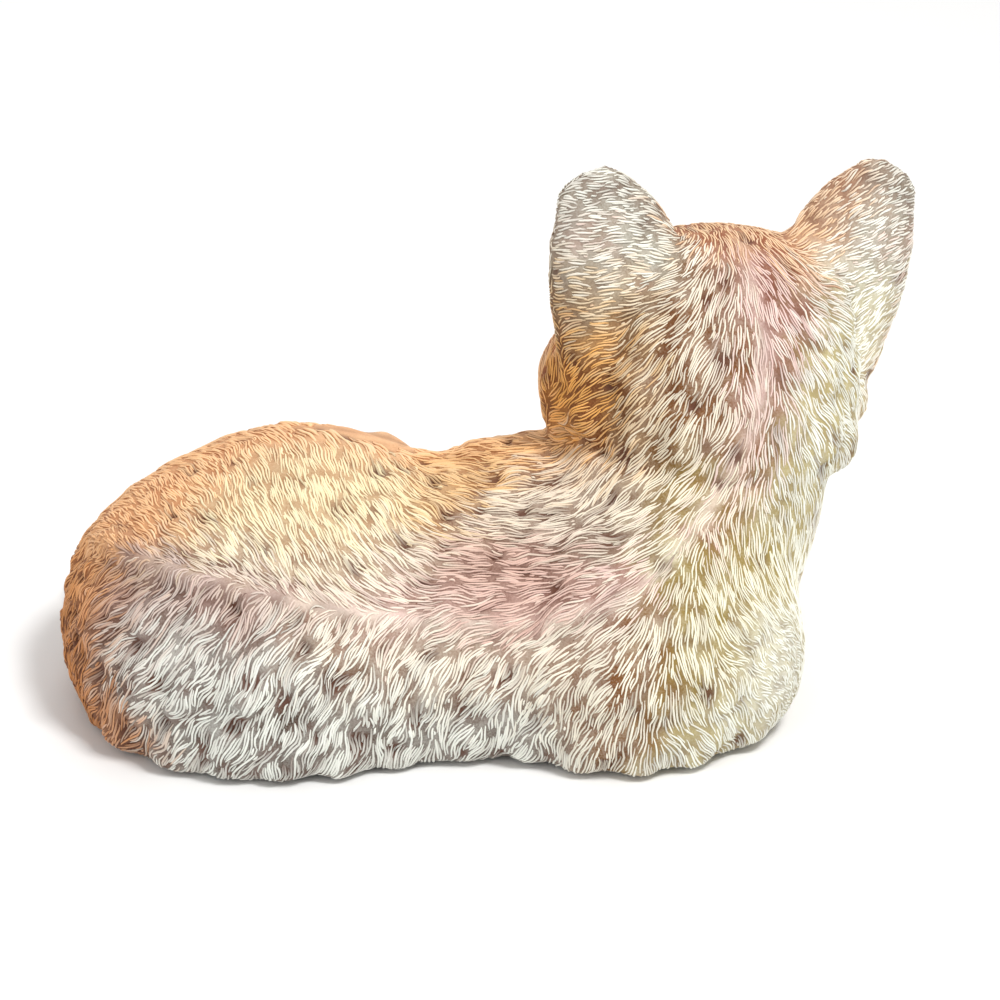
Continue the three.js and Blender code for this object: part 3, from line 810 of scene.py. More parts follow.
def has_room(taken, place, gap):
    """Whether no stroke passes within a gap of a place."""
    x, y, z = cell_of(place)
    for cell in [(x + i, y + j, z + k) for i in (-1, 0, 1) for j in (-1, 0, 1) for k in (-1, 0, 1)]:
        for other in taken.get(cell, ()):
            if (other - place).length_squared < gap * gap:
                return False
    return True


def is_smooth(place):
    """Whether a place belongs to an eye or the nose."""
    return any((place - spot).length < size for spot, size in smooth_spots)


print("smooth spots without strokes:", len(smooth_spots))


# %% Walk the strokes over the skin
def lay_strokes(piece, beds, comb, height, pit):
    """Every stroke of a skin, with the place, facing and nearest vertex of its steps."""
    tree = surface_of(piece)
    points = points_of(piece.data)
    facing = normals_of(piece.data)
    ways, kinds = comb(points, facing)
    bend = np.array([noise.noise(Vector(p) / WAVE_SIZE) for p in points])
    ways = [Vector(w) for w in turned(ways, facing, bend * np.radians(kinds[:, WAVE]) * WAVE_GAIN)]
    finder = finder_of(points)
    taken = {}
    for place in pressed:
        taken.setdefault(cell_of(Vector(place)), []).append(Vector(place))
    lines = []

    def walk(at, vertex, sign, reach, gap):
        """Steps along the comb, or against it, as far as there is room."""
        steps = []
        while len(steps) * STEP < reach:
            to, out, _, _ = tree.find_nearest(at + ways[vertex] * (sign * STEP))
            then = finder.find(to)[1]
            ledge = sign > 0 and height[vertex] - height[then] > LEDGE
            stuck = (to - at).length < STUCK * STEP
            if ledge or stuck or is_smooth(to) or not has_room(taken, to, gap):
                break
            steps.append((to, out, then))
            at, vertex = to, then
        return steps

    order = chance.permutation(np.repeat(np.arange(len(beds)), TRIES))
    starts = beds[order] + chance.uniform(-BED_SPREAD, BED_SPREAD, (len(order), 3))
    shortest = np.repeat(SHORTEST, [len(order) // 2, len(order) - len(order) // 2])
    for start, luck, least in zip(starts, chance.uniform(*LUCK, len(order)), shortest):
        at, out, _, _ = tree.find_nearest(Vector(start))
        vertex = finder.find(at)[1]
        long, pitch = kinds[vertex, LENGTH] * luck, kinds[vertex, PITCH]
        if out.z < UNDERSIDE or at.z < LOWEST_ROOT or pitch > BARE_PITCH or is_smooth(at):
            continue
        if not has_room(taken, at, SEED_ROOM * pitch):
            continue
        back = walk(at, vertex, -1, BACK_SHARE * long, BACK_ROOM * pitch)
        ahead = walk(at, vertex, 1, long - STEP * len(back), AHEAD_ROOM * pitch)
        line = back[::-1] + [(at, out, vertex)] + ahead
        if len(line) < FEWEST_STEPS or len(line) * STEP < least * long:
            continue
        for place, _, _ in line:
            taken.setdefault(cell_of(place), []).append(place)
        lines.append(Walked(line, pitch, pit[vertex], height[vertex], kinds[vertex, FILL]))
    return lines


cat_lines = lay_strokes(cat, cat_beds, cat_comb, cat_height, cat_pit)
print("lines walked on the cat:", len(cat_lines))

# %% [markdown]
# Shaping the strokes.
# A walked line has no width yet. Every point looks for the lines beside it: the stroke moves to the
# middle of its room, grows as wide as its kind allows, sways a little, and bends to its neighbour at both
# ends, so that hollows between strokes close to a point as they do under a carver's loop.

# %% Room beside each point of a stroke
NEIGHBOURS = 26
BESIDE = 0.9
ROOMIEST = 1.3


def spaced(vectors):
    """A few vectors at even shares along a longer list, by straight interpolation."""
    rows = np.array(vectors)
    spread = np.linspace(0, len(rows) - 1, STROKE_POINTS)
    return np.stack([np.interp(spread, np.arange(len(rows)), rows[:, axis]) for axis in range(3)], axis=1)


def room_beside(path, across, pitch, lines):
    """Distances from each point of a stroke to the next strokes on its right and left."""
    owner = np.repeat(np.arange(len(lines)), [len(one.steps) for one in lines])
    steps = np.array([place for one in lines for place, _, _ in one.steps])
    finder = finder_of(steps)
    flat = path.reshape(-1, 3)
    near = np.array([[i for _, i, _ in finder.find_n(place, NEIGHBOURS)] for place in flat])
    offset = steps[near] - flat[:, None, :]
    aside = np.einsum("ijk,ik->ij", offset, across)
    beside = np.sum(offset**2, axis=2) - aside**2 < BESIDE**2
    beside &= owner[near] != np.repeat(np.arange(len(lines)), STROKE_POINTS)[:, None]
    most = ROOMIEST * pitch[:, None]
    right = np.min(np.where(beside & (aside > 0), aside, most), axis=1)
    left = np.min(np.where(beside & (aside <= 0), -aside, most), axis=1)
    return right, left


print("looks at", NEIGHBOURS, "steps around each point")

# %% Shape the strokes
GROOVE = 0.3
SLIMMEST = 0.65
RISE = 0.75
SWAY = 0.12
SWAY_LONG = 10.0
MEET_REACH = 0.55
FLOOR_CLEAR = 1.6
STROKE_SHAPE = np.array([0.0, 0.55, 0.85, 0.97, 1.0, 0.97, 0.85, 0.55, 0.0])
STROKE_LIFT = np.array([-0.35, -0.1, 0.0, 0.05, 0.08, 0.08, 0.05, 0.0, -0.2])
STROKE_TIP = np.array([0.8, 0.25, 0.0, 0.0, 0.0, 0.0, 0.0, 0.25, 0.8])


def shape_strokes(lines):
    """Strokes that sway, meet at the tips, and are as wide as their room and kind allow."""
    path = np.array([spaced([place for place, _, _ in one.steps]) for one in lines])
    out = np.array([spaced([facing for _, facing, _ in one.steps]) for one in lines])
    pitch = np.repeat([one.pitch for one in lines], STROKE_POINTS)
    across = unit(np.cross(out, np.gradient(path, axis=1))).reshape(-1, 3)
    right, left = room_beside(path, across, pitch, lines)
    tip = np.tile(STROKE_TIP, len(lines))
    meet = np.clip(np.where(right < left, right, -left), -MEET_REACH * pitch, MEET_REACH * pitch)
    walked = np.array([len(one.steps) for one in lines])[:, None] * STEP
    passed = walked * np.linspace(0, 1, STROKE_POINTS)
    phase = chance.uniform(0, 2 * np.pi, (len(lines), 1))
    sway = SWAY * pitch * np.sin(2 * np.pi * passed / SWAY_LONG + phase).ravel()
    shift = (1 - tip) * ((right - left) / 4 + sway) + tip * meet
    path += (across * shift[:, None]).reshape(path.shape)
    fullest = pitch * np.repeat([one.fill for one in lines], STROKE_POINTS)
    half = np.clip((right + left) / 4 - GROOVE / 2, SLIMMEST * fullest, fullest)
    half = half.reshape(-1, STROKE_POINTS) * STROKE_SHAPE
    path += out * STROKE_LIFT[:, None]
    path[:, :, 2] = np.maximum(path[:, :, 2], FLOOR_CLEAR)
    deep, high = np.array([(one.deep, one.high) for one in lines]).T
    return {"path": path, "out": out, "half": half, "deep": deep, "high": high}


cat_strokes = shape_strokes(cat_lines)
tail_lines = lay_strokes(tail, tail_beds, tail_comb, tail_height, tail_pit)
tail_strokes = shape_strokes(tail_lines)
print("strokes:", len(cat_strokes["half"]), "on the cat,", len(tail_strokes["half"]), "on the tail")

# %% [markdown]
# Paint.
# The casting was sprayed in soft zones and then washed: a darker wash stays in the grooves, and the
# ridges are brushed pale. So each paint is a pair, ridge and groove. Zones are dots of spray with a soft
# edge, some marked on the picture and some on the sides that it doesn't show, and every point takes the
# mix of the dots around it. Two darker zones are painted shade as well as colour: mauve below the ridge
# of the hips, and fawn low on the left ear and beside it. The pale grey low on the flank carries a little
# painted highlight.

# %% Paints, ridge and groove
PAINTS = {
    "cream": ("F6EFDC", "744410"),
    "butter": ("F9ECC2", "A0601C"),
    "straw": ("F7F3DA", "94803E"),
    "tan": ("FFCC96", "A8581A"),
    "rust": ("CC8440", "4A1A04"),
    "pink": ("EFCAC4", "7E4638"),
    "clay": ("DAB2A2", "5A301F"),
    # painted shade: a darker mauve for the shade under the ridge of the hips
    "mauve_shade": ("C2A298", "4A2416"),
    # pale grey whose ridge colour carries a little painted highlight, tinted bluish
    "grey_with_highlight": ("ECEEE6", "3C2208"),
    "pale": ("F9FBF2", "B4A674"),
    "gold": ("F4AE44", "703905"),
    "ochre": ("EBBA76", "7D4715"),
    "orange": ("F4CCA0", "904F2B"),
    "white": ("EEE4D2", "593112"),
    # painted shade as well as colour: a darker fawn for the shade low on the left ear
    "fawn_shade": ("D8B884", "5A3406"),
    "ivory": ("F2F4EA", "5E5230"),
    "rose": ("E3B3A6", "B77F72"),
    "milk": ("F6EEDE", "A8845A"),
}


def linear(code):
    """A colour code as linear red, green and blue."""
    share = np.array([int(code[i:i + 2], 16) for i in (0, 2, 4)]) / 255
    return np.where(share <= 0.04045, share / 12.92, ((share + 0.055) / 1.055) ** 2.4)


def opaque(code):
    """A colour code as a colour socket takes it."""
    return (*linear(code), 1.0)


print("paints:", sorted(PAINTS))

# %% Zones sprayed on the side that shows
SPRAYED = [
    ("tan", 16, [(100, 520), (130, 505), (165, 480), (200, 455), (150, 530), (235, 440), (105, 535),
                 (180, 500)]),
    ("butter", 18, [(260, 490), (310, 480), (350, 500), (280, 530), (330, 540), (230, 520), (380, 490)]),
    ("cream", 16, [(240, 560), (300, 575), (360, 570), (400, 560)]),
    ("pink", 9, [(200, 580), (250, 590), (300, 600), (350, 608), (400, 612), (450, 600), (500, 600),
                 (540, 610), (590, 600), (630, 585), (400, 590), (760, 300), (768, 350), (762, 400),
                 (750, 450), (765, 260), (790, 320), (725, 480), (700, 530)]),
    ("clay", 11, [(450, 585), (490, 590), (530, 600), (470, 560), (520, 565), (560, 590), (500, 612)]),
    # painted shade as well as colour, low on the left ear and beside it
    ("fawn_shade", 11, [(575, 325), (600, 330), (625, 318), (565, 300), (590, 305), (640, 345), (625, 400),
                  (640, 430)]),
    # painted shade in mauve, just below the ridge on the near flank
    ("mauve_shade", 11, [(130, 570), (170, 585), (210, 600), (150, 600), (250, 610), (190, 620), (140, 640),
                   (110, 600)]),
    ("rust", 12, [(80, 560), (75, 600), (70, 650), (85, 690), (105, 560), (110, 720), (90, 630),
                  (75, 680)]),
    # the low flank, whose pale paint carries a little painted highlight
    ("grey_with_highlight", 17, [(140, 650), (190, 670), (250, 680), (310, 700), (220, 730), (370, 720), (290, 750),
                  (430, 740), (500, 720), (180, 640)]),
    ("cream", 15, [(320, 650), (390, 660), (460, 660), (530, 660), (590, 650), (650, 650)]),
    ("cream", 10, [(560, 700), (620, 725), (590, 690)]),
    ("straw", 12, [(700, 600), (720, 640), (690, 650), (740, 580), (710, 680), (770, 560), (700, 470),
                   (690, 500), (670, 560)]),
    ("pale", 13, [(780, 650), (770, 690), (740, 710), (790, 610), (700, 740), (800, 560), (815, 500)]),
    ("ochre", 9, [(440, 470), (470, 455), (500, 462), (450, 500), (430, 510), (530, 445), (480, 480)]),
    ("white", 11, [(540, 480), (570, 470), (600, 490), (520, 500), (490, 520), (560, 520), (610, 530)]),
    ("gold", 12, [(555, 400), (570, 430), (590, 380), (560, 370), (600, 420), (620, 350), (540, 430),
                  (590, 345)]),
    ("cream", 13, [(680, 300), (660, 340), (690, 380), (650, 400), (700, 430), (660, 450), (720, 350)]),
    ("orange", 9, [(745, 240), (775, 245), (800, 225), (720, 240), (825, 208), (850, 185), (800, 260)]),
    ("pale", 14, [(830, 350), (845, 400), (820, 440), (870, 300), (800, 470), (855, 330)]),
    ("ivory", 10, [(575, 220), (570, 270), (600, 250), (585, 310), (610, 300)]),
    ("ivory", 11, [(610, 190), (640, 230), (650, 260), (880, 230), (895, 190), (870, 265), (860, 220)]),
    ("tan", 9, [(360, 432), (400, 444), (330, 426), (425, 455)]),
]
print("zones on the side that shows:", len(SPRAYED))

# %% Zones sprayed on the unseen sides and on the head
SPRAYED_UNSEEN = [
    ("milk", 24, [(-75, -58, 45), (-53, -105, 20), (-94, -98, 20), (-95, -60, 25), (-45, -75, 25),
                  (20, -74, 18), (-8, -64, 18), (-112, -20, 45)]),
    ("milk", 26, [(-20, -45, 45), (15, -42, 40), (50, -66, 35), (90, -60, 35)]),
    ("tan", 24, [(67, -30, 84), (100, -40, 65), (60, -60, 60), (-10, -20, 80), (20, -20, 75)]),
    ("rust", 18, [(149, 0, 30), (140, -35, 40), (149, 10, 12)]),
]
SPRAYED_HEAD = [
    ("orange", 15, [(0, -48, 64), (16, -40, 70), (0, -25, 76), (30, -38, 56)]),
    ("milk", 11, [(0, -66, 18), (13, -66, 18), (0, -62, 8), (0, -64, 36)]),
    ("tan", 14, [(40, -44, 30), (52, -28, 22), (46, -36, 46)]),
    ("milk", 12, [(36, -44, 10), (48, -32, 6)]),
    ("rose", 8, [(42, -16, 58), (48, -15, 68), (50, -13, 78), (40, -16, 50)]),
    ("rose", 4, [(0, -72, 28)]),
]
print("zones on the unseen sides:", len(SPRAYED_UNSEEN) + len(SPRAYED_HEAD))


# %% Drop the spray onto the skin
def sprayed_dots():
    """Every dot of spray as its place, radius and paint."""
    dots = []
    for paint, radius, marks in SPRAYED:
        dots += [(dropped(u, v)[0], radius, paint) for u, v in marks]
    for paint, radius, places in SPRAYED_UNSEEN:
        dots += [(nearest(place)[0], radius, paint) for place in places]
    for paint, radius, places in SPRAYED_HEAD:
        for x, y, z in places:
            dots += [(nearest(head_point(side * x, y, z))[0], radius, paint) for side in (1, -1)]
    return dots


dots = sprayed_dots()
dot_at = np.array([d[0] for d in dots])
dot_size = np.array([d[1] for d in dots], float)
dot_ridge = np.array([linear(PAINTS[d[2]][0]) for d in dots])
dot_groove = np.array([linear(PAINTS[d[2]][1]) for d in dots])
print("dots of spray:", len(dots))

# %% Paint any point of the cat
UNPAINTED = 0.005
SMOOTH_BRUSHED = 0.6
CREST_BRUSHED = 0.5
CREST_WIDTH = 3.0
LOCK_BRUSHED = 0.15
LINE_NEAR = 0.9
LINE_DEEP = 0.8
SKIN_TONE = 0.5
DRIFT = 9.0
DRIFT_SIZE = 9.0
SOFTNESS = 1.9


def painted(points):
    """Ridge and groove colours at points of the cat."""
    ridge = np.empty((len(points), 3))
    groove = np.empty((len(points), 3))
    for start in range(0, len(points), ROWS_AT_ONCE):
        part = slice(start, start + ROWS_AT_ONCE)
        drift = np.array([noise.noise_vector(Vector(p) / DRIFT_SIZE) for p in points[part]])
        here = points[part] + DRIFT * drift
        square = np.sum(here**2, 1)[:, None] + np.sum(dot_at**2, 1) - 2 * here @ dot_at.T
        thick = np.exp(-SOFTNESS * np.sqrt(np.maximum(square, 0)) / dot_size)
        total = thick.sum(1)[:, None] + UNPAINTED
        ridge[part] = (thick @ dot_ridge + UNPAINTED * linear(PAINTS["cream"][0])) / total
        groove[part] = (thick @ dot_groove + UNPAINTED * linear(PAINTS["cream"][1])) / total
    return ridge, groove


def paint_skin(piece, height, pit, comb):
    """Stores a skin's paint, brushed like strokes, more on locks and crest; pits of wash and painted
    shade.
    """
    points = points_of(piece.data)
    brushed = comb(points, normals_of(piece.data))[1][:, PALE]
    brushed[[is_smooth(Vector(p)) for p in points]] = SMOOTH_BRUSHED
    brushed += CREST_BRUSHED * np.exp(-((from_spine(points)[0] / CREST_WIDTH) ** 2))
    lined = np.array([pressed_finder.find(p)[2] for p in points]) < LINE_NEAR
    ridge, groove = painted(points)
    give_values(piece.data, "coat", ridge)
    give_values(piece.data, "wash", groove)
    give_values(piece.data, "ridge", brushed + LOCK_BRUSHED * np.clip(height, 0, 1))
    # Painted shade, partly a pooled wash: pits and hollows are darkened, and the pressed mouth and toe
    # lines too
    give_values(piece.data, "deep", np.where(lined, LINE_DEEP, pit))
    give_values(piece.data, "tone", np.full(len(pit), SKIN_TONE))


paint_skin(cat, cat_height, cat_pit, cat_comb)
paint_skin(tail, tail_height, tail_pit, tail_comb)
print("painted", len(cat.data.vertices) + len(tail.data.vertices), "skin points")

# %% [markdown]
# The painted resin.
# One material serves skin and strokes. It reads the stored paint of each point: the wash colour in the
# grooves and the brushed colour on the ridges, with painted light and shade across the strokes. Noise
# breaks the brushing up, a finer noise adds grains of pigment, and the deep pits take a red-brown that is
# painted shade as well as a pooled wash. The surface is matt, a little smoother where the brush has
# rubbed it.

# %% Helpers that add nodes
def node(tree, kind, **sockets):
    """Adds a node, and sets or links its named inputs."""
    made = tree.nodes.new(kind)
    for name, value in sockets.items():
        fill(tree, made.inputs[name.replace("_", " ")], value)
    return made


def fill(tree, socket, value):
    """Sets a socket to a value, or links an output to it."""
    if isinstance(value, bpy.types.NodeSocket):
        tree.links.new(value, socket)
    else:
        socket.default_value = value


def stored(tree, name):
    """Attribute node for a stored value."""
    made = tree.nodes.new("ShaderNodeAttribute")
    made.attribute_name = name
    return made


def sum_of(tree, kind, first, second, clamp=False):
    """A math node on two inputs."""
    made = tree.nodes.new("ShaderNodeMath")
    made.operation = kind
    made.use_clamp = clamp
    fill(tree, made.inputs[0], first)
    fill(tree, made.inputs[1], second)
    return made.outputs[0]


print("helpers that add nodes are ready")


# %% Helpers that mix and roughen
def blended(tree, share, first, second):
    """A colour mix of two inputs."""
    made = tree.nodes.new("ShaderNodeMix")
    made.data_type = "RGBA"
    fill(tree, made.inputs["Factor"], share)
    fill(tree, made.inputs[6], first)
    fill(tree, made.inputs[7], second)
    return made.outputs[2]


def grain(tree, scale, detail=2.0):
    """Noise on the object's own coordinates, about 0.5 on average."""
    place = tree.nodes.new("ShaderNodeTexCoord")
    made = node(tree, "ShaderNodeTexNoise", Vector=place.outputs["Object"], Scale=scale, Detail=detail)
    return made.outputs[0]


def new_material(name):
    """An empty node material and its shader node."""
    made = bpy.data.materials.new(name)
    made.use_nodes = True
    return made, made.node_tree, made.node_tree.nodes["Principled BSDF"]


def colour_from(tree, shader, colour):
    """Links a colour to the shader."""
    fill(tree, shader.inputs["Base Color"], colour)


def rough_from(tree, shader, pattern, span, least):
    """Roughness that follows a pattern, from a least value up."""
    rough = sum_of(tree, "ADD", sum_of(tree, "MULTIPLY", pattern, span), least)
    fill(tree, shader.inputs["Roughness"], rough)


def bump_from(tree, shader, pattern, strength, depth):
    """Fine relief that follows a pattern, with its depth in metres."""
    bump = node(tree, "ShaderNodeBump", Height=pattern, Strength=strength, Distance=depth)
    fill(tree, shader.inputs["Normal"], bump.outputs[0])


print("helpers that mix and roughen are ready")

# %% Painted resin material
FINE_GRAIN = 1400.0
FINE_SHARE = 0.5
PATCH_GRAIN = 90.0
PATCH_SHARE = 0.6
TONE_SHARE = 0.6
UNBRUSHED = 0.8
PIT_SHADE_SHARE = 0.9
MATT = 0.78
RUBBED = -0.2
GRIT = 0.25
GRIT_DEPTH = 0.2 * MM
painted_resin, tree, shader = new_material("painted_resin")
fine = grain(tree, FINE_GRAIN)
patch = grain(tree, PATCH_GRAIN)
toned = sum_of(tree, "MULTIPLY", stored(tree, "tone").outputs["Fac"], TONE_SHARE)
brushed = sum_of(tree, "ADD", stored(tree, "ridge").outputs["Fac"], toned)
brushed = sum_of(tree, "ADD", brushed, sum_of(tree, "MULTIPLY", fine, FINE_SHARE))
brushed = sum_of(tree, "ADD", brushed, sum_of(tree, "MULTIPLY", patch, PATCH_SHARE))
brushed = sum_of(tree, "SUBTRACT", brushed, UNBRUSHED, clamp=True)
wash = stored(tree, "wash").outputs["Color"]
coat = stored(tree, "coat").outputs["Color"]
colour = blended(tree, brushed, wash, coat)
# Painted shade, partly a pooled wash: pits, hollows and the pressed lines are darkened towards a
# red-brown
pit = sum_of(tree, "MULTIPLY", stored(tree, "deep").outputs["Fac"], PIT_SHADE_SHARE)
colour_from(tree, shader, blended(tree, pit, colour, opaque("5A2F1B")))
rough_from(tree, shader, brushed, RUBBED, MATT)
bump_from(tree, shader, fine, GRIT, GRIT_DEPTH)
cat.data.materials.append(painted_resin)
tail.data.materials.append(painted_resin)
print("painted resin nodes:", len(tree.nodes))

# %% [markdown]
# Strokes as meshes.
# A curve object with a round bevel turns a list of points and radii into a tube, so each region's strokes
# become the splines of one curve, which is then converted. A carved stroke is a low ridge and no pipe, so
# every ring of the tube is turned to face out of the skin and lowered. The ends have no radius, so the
# corners of an end ring are merged to a point. Each stroke also gets its own cell of a UV grid, so that
# thousands of tiny islands need no packing.

# %% Turn the tubes to the skin
def flatten(mesh, path, out, half, ring):
    """Turns every tube to the skin and lowers it to a ridge, and says how far up on it each corner is."""
    run = unit(np.gradient(path, axis=1))
    across = unit(np.cross(out, run))
    out = np.cross(run, across)
    middle = STROKE_POINTS // 2
    rings = points_of(mesh).reshape(len(path), STROKE_POINTS, ring, 3)
    arms = rings[:, middle] - path[:, None, middle]
    turn = np.sign(np.sum(np.cross(arms[:, 0], arms[:, 1]) * run[:, middle]))
    angle = np.pi / 2 + turn * np.arange(ring) * 2 * np.pi / ring
    rise = np.minimum(half, RISE * STROKE_SHAPE)
    places = path[:, :, None] + across[:, :, None] * (half[:, :, None] * np.cos(angle))[..., None]
    places = places + out[:, :, None] * (rise[:, :, None] * np.sin(angle))[..., None]
    put_points(mesh, places.reshape(-1, 3))
    return np.tile(np.sin(angle), len(path) * STROKE_POINTS)


print("tubes are lowered to ridges up to", RISE, "mm high")

# %% Give the strokes their cells and close their tips
CELL_EDGE = 0.08
SAME_TIP = 1e-7


def pack_cells(mesh, count, corners):
    """Shrinks every stroke's own UV square into its cell of a grid."""
    cells = math.ceil(math.sqrt(count))
    layer = mesh.uv_layers[0]
    layer.name = "OFBake"
    uv = np.empty(len(mesh.loops) * 2, np.float32)
    layer.data.foreach_get("uv", uv)
    vertex = np.empty(len(mesh.loops), int)
    mesh.loops.foreach_get("vertex_index", vertex)
    number = vertex // corners
    cell = np.stack([number % cells, number // cells], axis=1)
    uv = (cell + CELL_EDGE + (1 - 2 * CELL_EDGE) * uv.reshape(-1, 2)) / cells
    layer.data.foreach_set("uv", uv.astype(np.float32).ravel())


def weld(mesh):
    """Merges the corners that meet at the ends of strokes."""
    shape = bmesh.new()
    shape.from_mesh(mesh)
    bmesh.ops.remove_doubles(shape, verts=shape.verts, dist=SAME_TIP)
    shape.to_mesh(mesh)
    shape.free()


print("each cell keeps an edge of", CELL_EDGE)

# %% Build one region's strokes
MINGLE = 4.5
# how much paler a stroke's top is than its sides: dry-brushing together with painted light and shade
BRUSH_AND_SHADE_GAIN = 1.1
RIDGE_LEAST = 0.05
HIGH_GAIN = 0.2
HIGHEST = 1.2
TIP_DEEP = 0.1


def stroke_tubes(name, path, radius):
    """The strokes' tubes as a mesh: one spline each, of a curve with a round bevel."""
    curve = bpy.data.curves.new(name, "CURVE")
    curve.dimensions = "3D"
    curve.bevel_depth = MM
    curve.bevel_resolution = 1
    rows = np.concatenate([path * MM, np.ones((*path.shape[:2], 1))], axis=2)
    for row, wide in zip(rows, radius):
        spline = curve.splines.new("POLY")
        spline.points.add(STROKE_POINTS - 1)
        spline.points.foreach_set("co", row.ravel())
        spline.points.foreach_set("radius", wide)
    holder = link(name + "_curve", curve)
    graph = bpy.context.evaluated_depsgraph_get()
    mesh = bpy.data.meshes.new_from_object(holder.evaluated_get(graph))
    bpy.data.objects.remove(holder)
    mesh.name = name
    return mesh


def stroke_piece(name, strokes, chosen):
    """A mesh piece of the chosen strokes, with their paint stored."""
    path = strokes["path"][chosen]
    radius = strokes["half"][chosen]
    mesh = stroke_tubes(name, path, radius)
    corners = len(mesh.vertices) // len(path)
    ring = corners // STROKE_POINTS
    up = flatten(mesh, path, strokes["out"][chosen], radius, ring)
    ridge, groove = painted((path + chance.normal(0, MINGLE, (len(path), 1, 3))).reshape(-1, 3))
    give_values(mesh, "coat", np.repeat(ridge, ring, axis=0))
    give_values(mesh, "wash", np.repeat(groove, ring, axis=0))
    high = np.repeat(np.clip(strokes["high"][chosen], 0, HIGHEST), corners)
    # Painted light and shade across each stroke as well as dry-brushing: paler top, darker sides
    give_values(mesh, "ridge", BRUSH_AND_SHADE_GAIN * up + RIDGE_LEAST + HIGH_GAIN * high)
    # painted shade, partly a pooled wash: a stroke keeps the pit darkness of its root, fading to the tip
    fade = np.tile(np.repeat(np.linspace(1, TIP_DEEP, STROKE_POINTS), ring), len(path))
    give_values(mesh, "deep", np.repeat(strokes["deep"][chosen], corners) * fade)
    give_values(mesh, "tone", np.repeat(chance.random(len(path)), corners))
    pack_cells(mesh, len(path), corners)
    weld(mesh)
    mesh.materials.append(painted_resin)
    mesh.polygons.foreach_set("use_smooth", np.ones(len(mesh.polygons), bool))
    return link(name, mesh)


print("strokes have", STROKE_POINTS, "points each")

# %% Divide the coat into regions
REGIONS = {
    "coat_rump": (128, 20, 40),
    "coat_haunch": (75, -25, 78),
    "coat_flank": (55, 75, 40),
    "coat_waist": (-5, 60, 55),
    "coat_shoulder": (-62, 78, 45),
    "coat_left_side": (20, -50, 45),
    "coat_chest": (-88, -40, 50),
    "coat_forepaws": (-72, -95, 20),
    "coat_hind_feet": (40, -68, 18),
    "coat_nape": tuple(head_point(0, 22, 25)),
    "coat_left_ear": tuple(head_point(50, -8, 75)),
    "coat_right_ear": tuple(head_point(-52, -8, 75)),
    "coat_crown": tuple(head_point(0, -10, 72)),
    "coat_face": tuple(head_point(0, -60, 40)),
    "coat_left_cheek": tuple(head_point(52, -20, 20)),
    "coat_right_cheek": tuple(head_point(-52, -20, 20)),
}
region_at = np.array(list(REGIONS.values()), float)
middles = cat_strokes["path"][:, 2]
region = np.argmin(((middles[:, None, :] - region_at) ** 2).sum(2), axis=1)
coats = []
for number, name in enumerate(REGIONS):
    chosen = np.flatnonzero(region == number)
    coats.append(stroke_piece(name, cat_strokes, chosen))
    print(name, len(chosen), "strokes")
coats.append(stroke_piece("coat_tail", tail_strokes, np.arange(len(tail_strokes["half"]))))
print("coat_tail", len(tail_strokes["half"]), "strokes")

# %% [markdown]
# Two castings again.
# The figurine's head is a casting of its own, so the finished skin is cut along the plane of the neck
# joint into a head and a body that meet without a step, and each cut is closed.

# %% Cut the skin at the neck
NECK_AT = NECK_JOINT * MM
NECK_WAY = HEAD_FRAME.to_3x3() @ Vector((0, 0, 1))


def half_of(piece, name, above):
    """The part of a skin above or below the neck joint, closed at the cut."""
    shape = bmesh.new()
    shape.from_mesh(piece.data)
    everything = [*shape.verts, *shape.edges, *shape.faces]
    cut = bmesh.ops.bisect_plane(shape, geom=everything, plane_co=NECK_AT, plane_no=NECK_WAY,
                                 clear_inner=above, clear_outer=not above)
    rim = [e for e in cut["geom_cut"] if isinstance(e, bmesh.types.BMEdge)]
    bmesh.ops.contextual_create(shape, geom=rim)
    for edge in rim:
        edge.smooth = False
    mesh = mesh_from(shape, name)
    mesh.materials.append(painted_resin)
    return link(name, mesh)


head_skin = half_of(cat, "head_skin", True)
body_skin = half_of(cat, "body_skin", False)
bpy.data.objects.remove(cat)
print("head faces:", len(head_skin.data.polygons), "body faces:", len(body_skin.data.polygons))

# %% [markdown]
# Glass eyes.
# Each eye is a clear dome with a flat back, pressed in over a painted iris. Its half section is a few
# points on an ellipse, and spinning them about the eye's axis turns the dome as a lathe would.

# %% Helpers that place and smooth a piece
def placed(shape, matrix):
    """Scales a shape from millimetres to metres and puts it in place."""
    bmesh.ops.transform(shape, matrix=Matrix.Scale(MM, 4) @ matrix, verts=shape.verts)
    bmesh.ops.recalc_face_normals(shape, faces=shape.faces)


def smooth(piece):
    """Shades a piece smoothly."""
    piece.data.polygons.foreach_set("use_smooth", np.ones(len(piece.data.polygons), bool))
    return piece


print("small pieces are drawn in millimetres and placed in metres")

# %% Turn the eye glasses
DOME_STEPS = 10
DOME_TURNS = 48
SAME_CORNER = 1e-4


def eye_glass(name, side):
    """A flat-backed glass dome, turned about the eye's axis."""
    shape = bmesh.new()
    section = [(0, -EYE_EDGE), (EYE_RADIUS, -EYE_EDGE)]
    for angle in np.linspace(0, math.pi / 2, DOME_STEPS):
        section.append((EYE_RADIUS * math.cos(angle), EYE_DOME * math.sin(angle)))
    verts = [shape.verts.new((r, 0, z)) for r, z in section]
    edges = [shape.edges.new(pair) for pair in zip(verts, verts[1:])]
    bmesh.ops.spin(shape, geom=[*verts, *edges], cent=(0, 0, 0), axis=(0, 0, 1), dvec=(0, 0, 0),
                   angle=2 * math.pi, steps=DOME_TURNS, use_merge=True, use_duplicate=False)
    bmesh.ops.remove_doubles(shape, verts=shape.verts, dist=SAME_CORNER)
    placed(shape, eye_frame(side))
    return smooth(link(name, mesh_from(shape, name)))


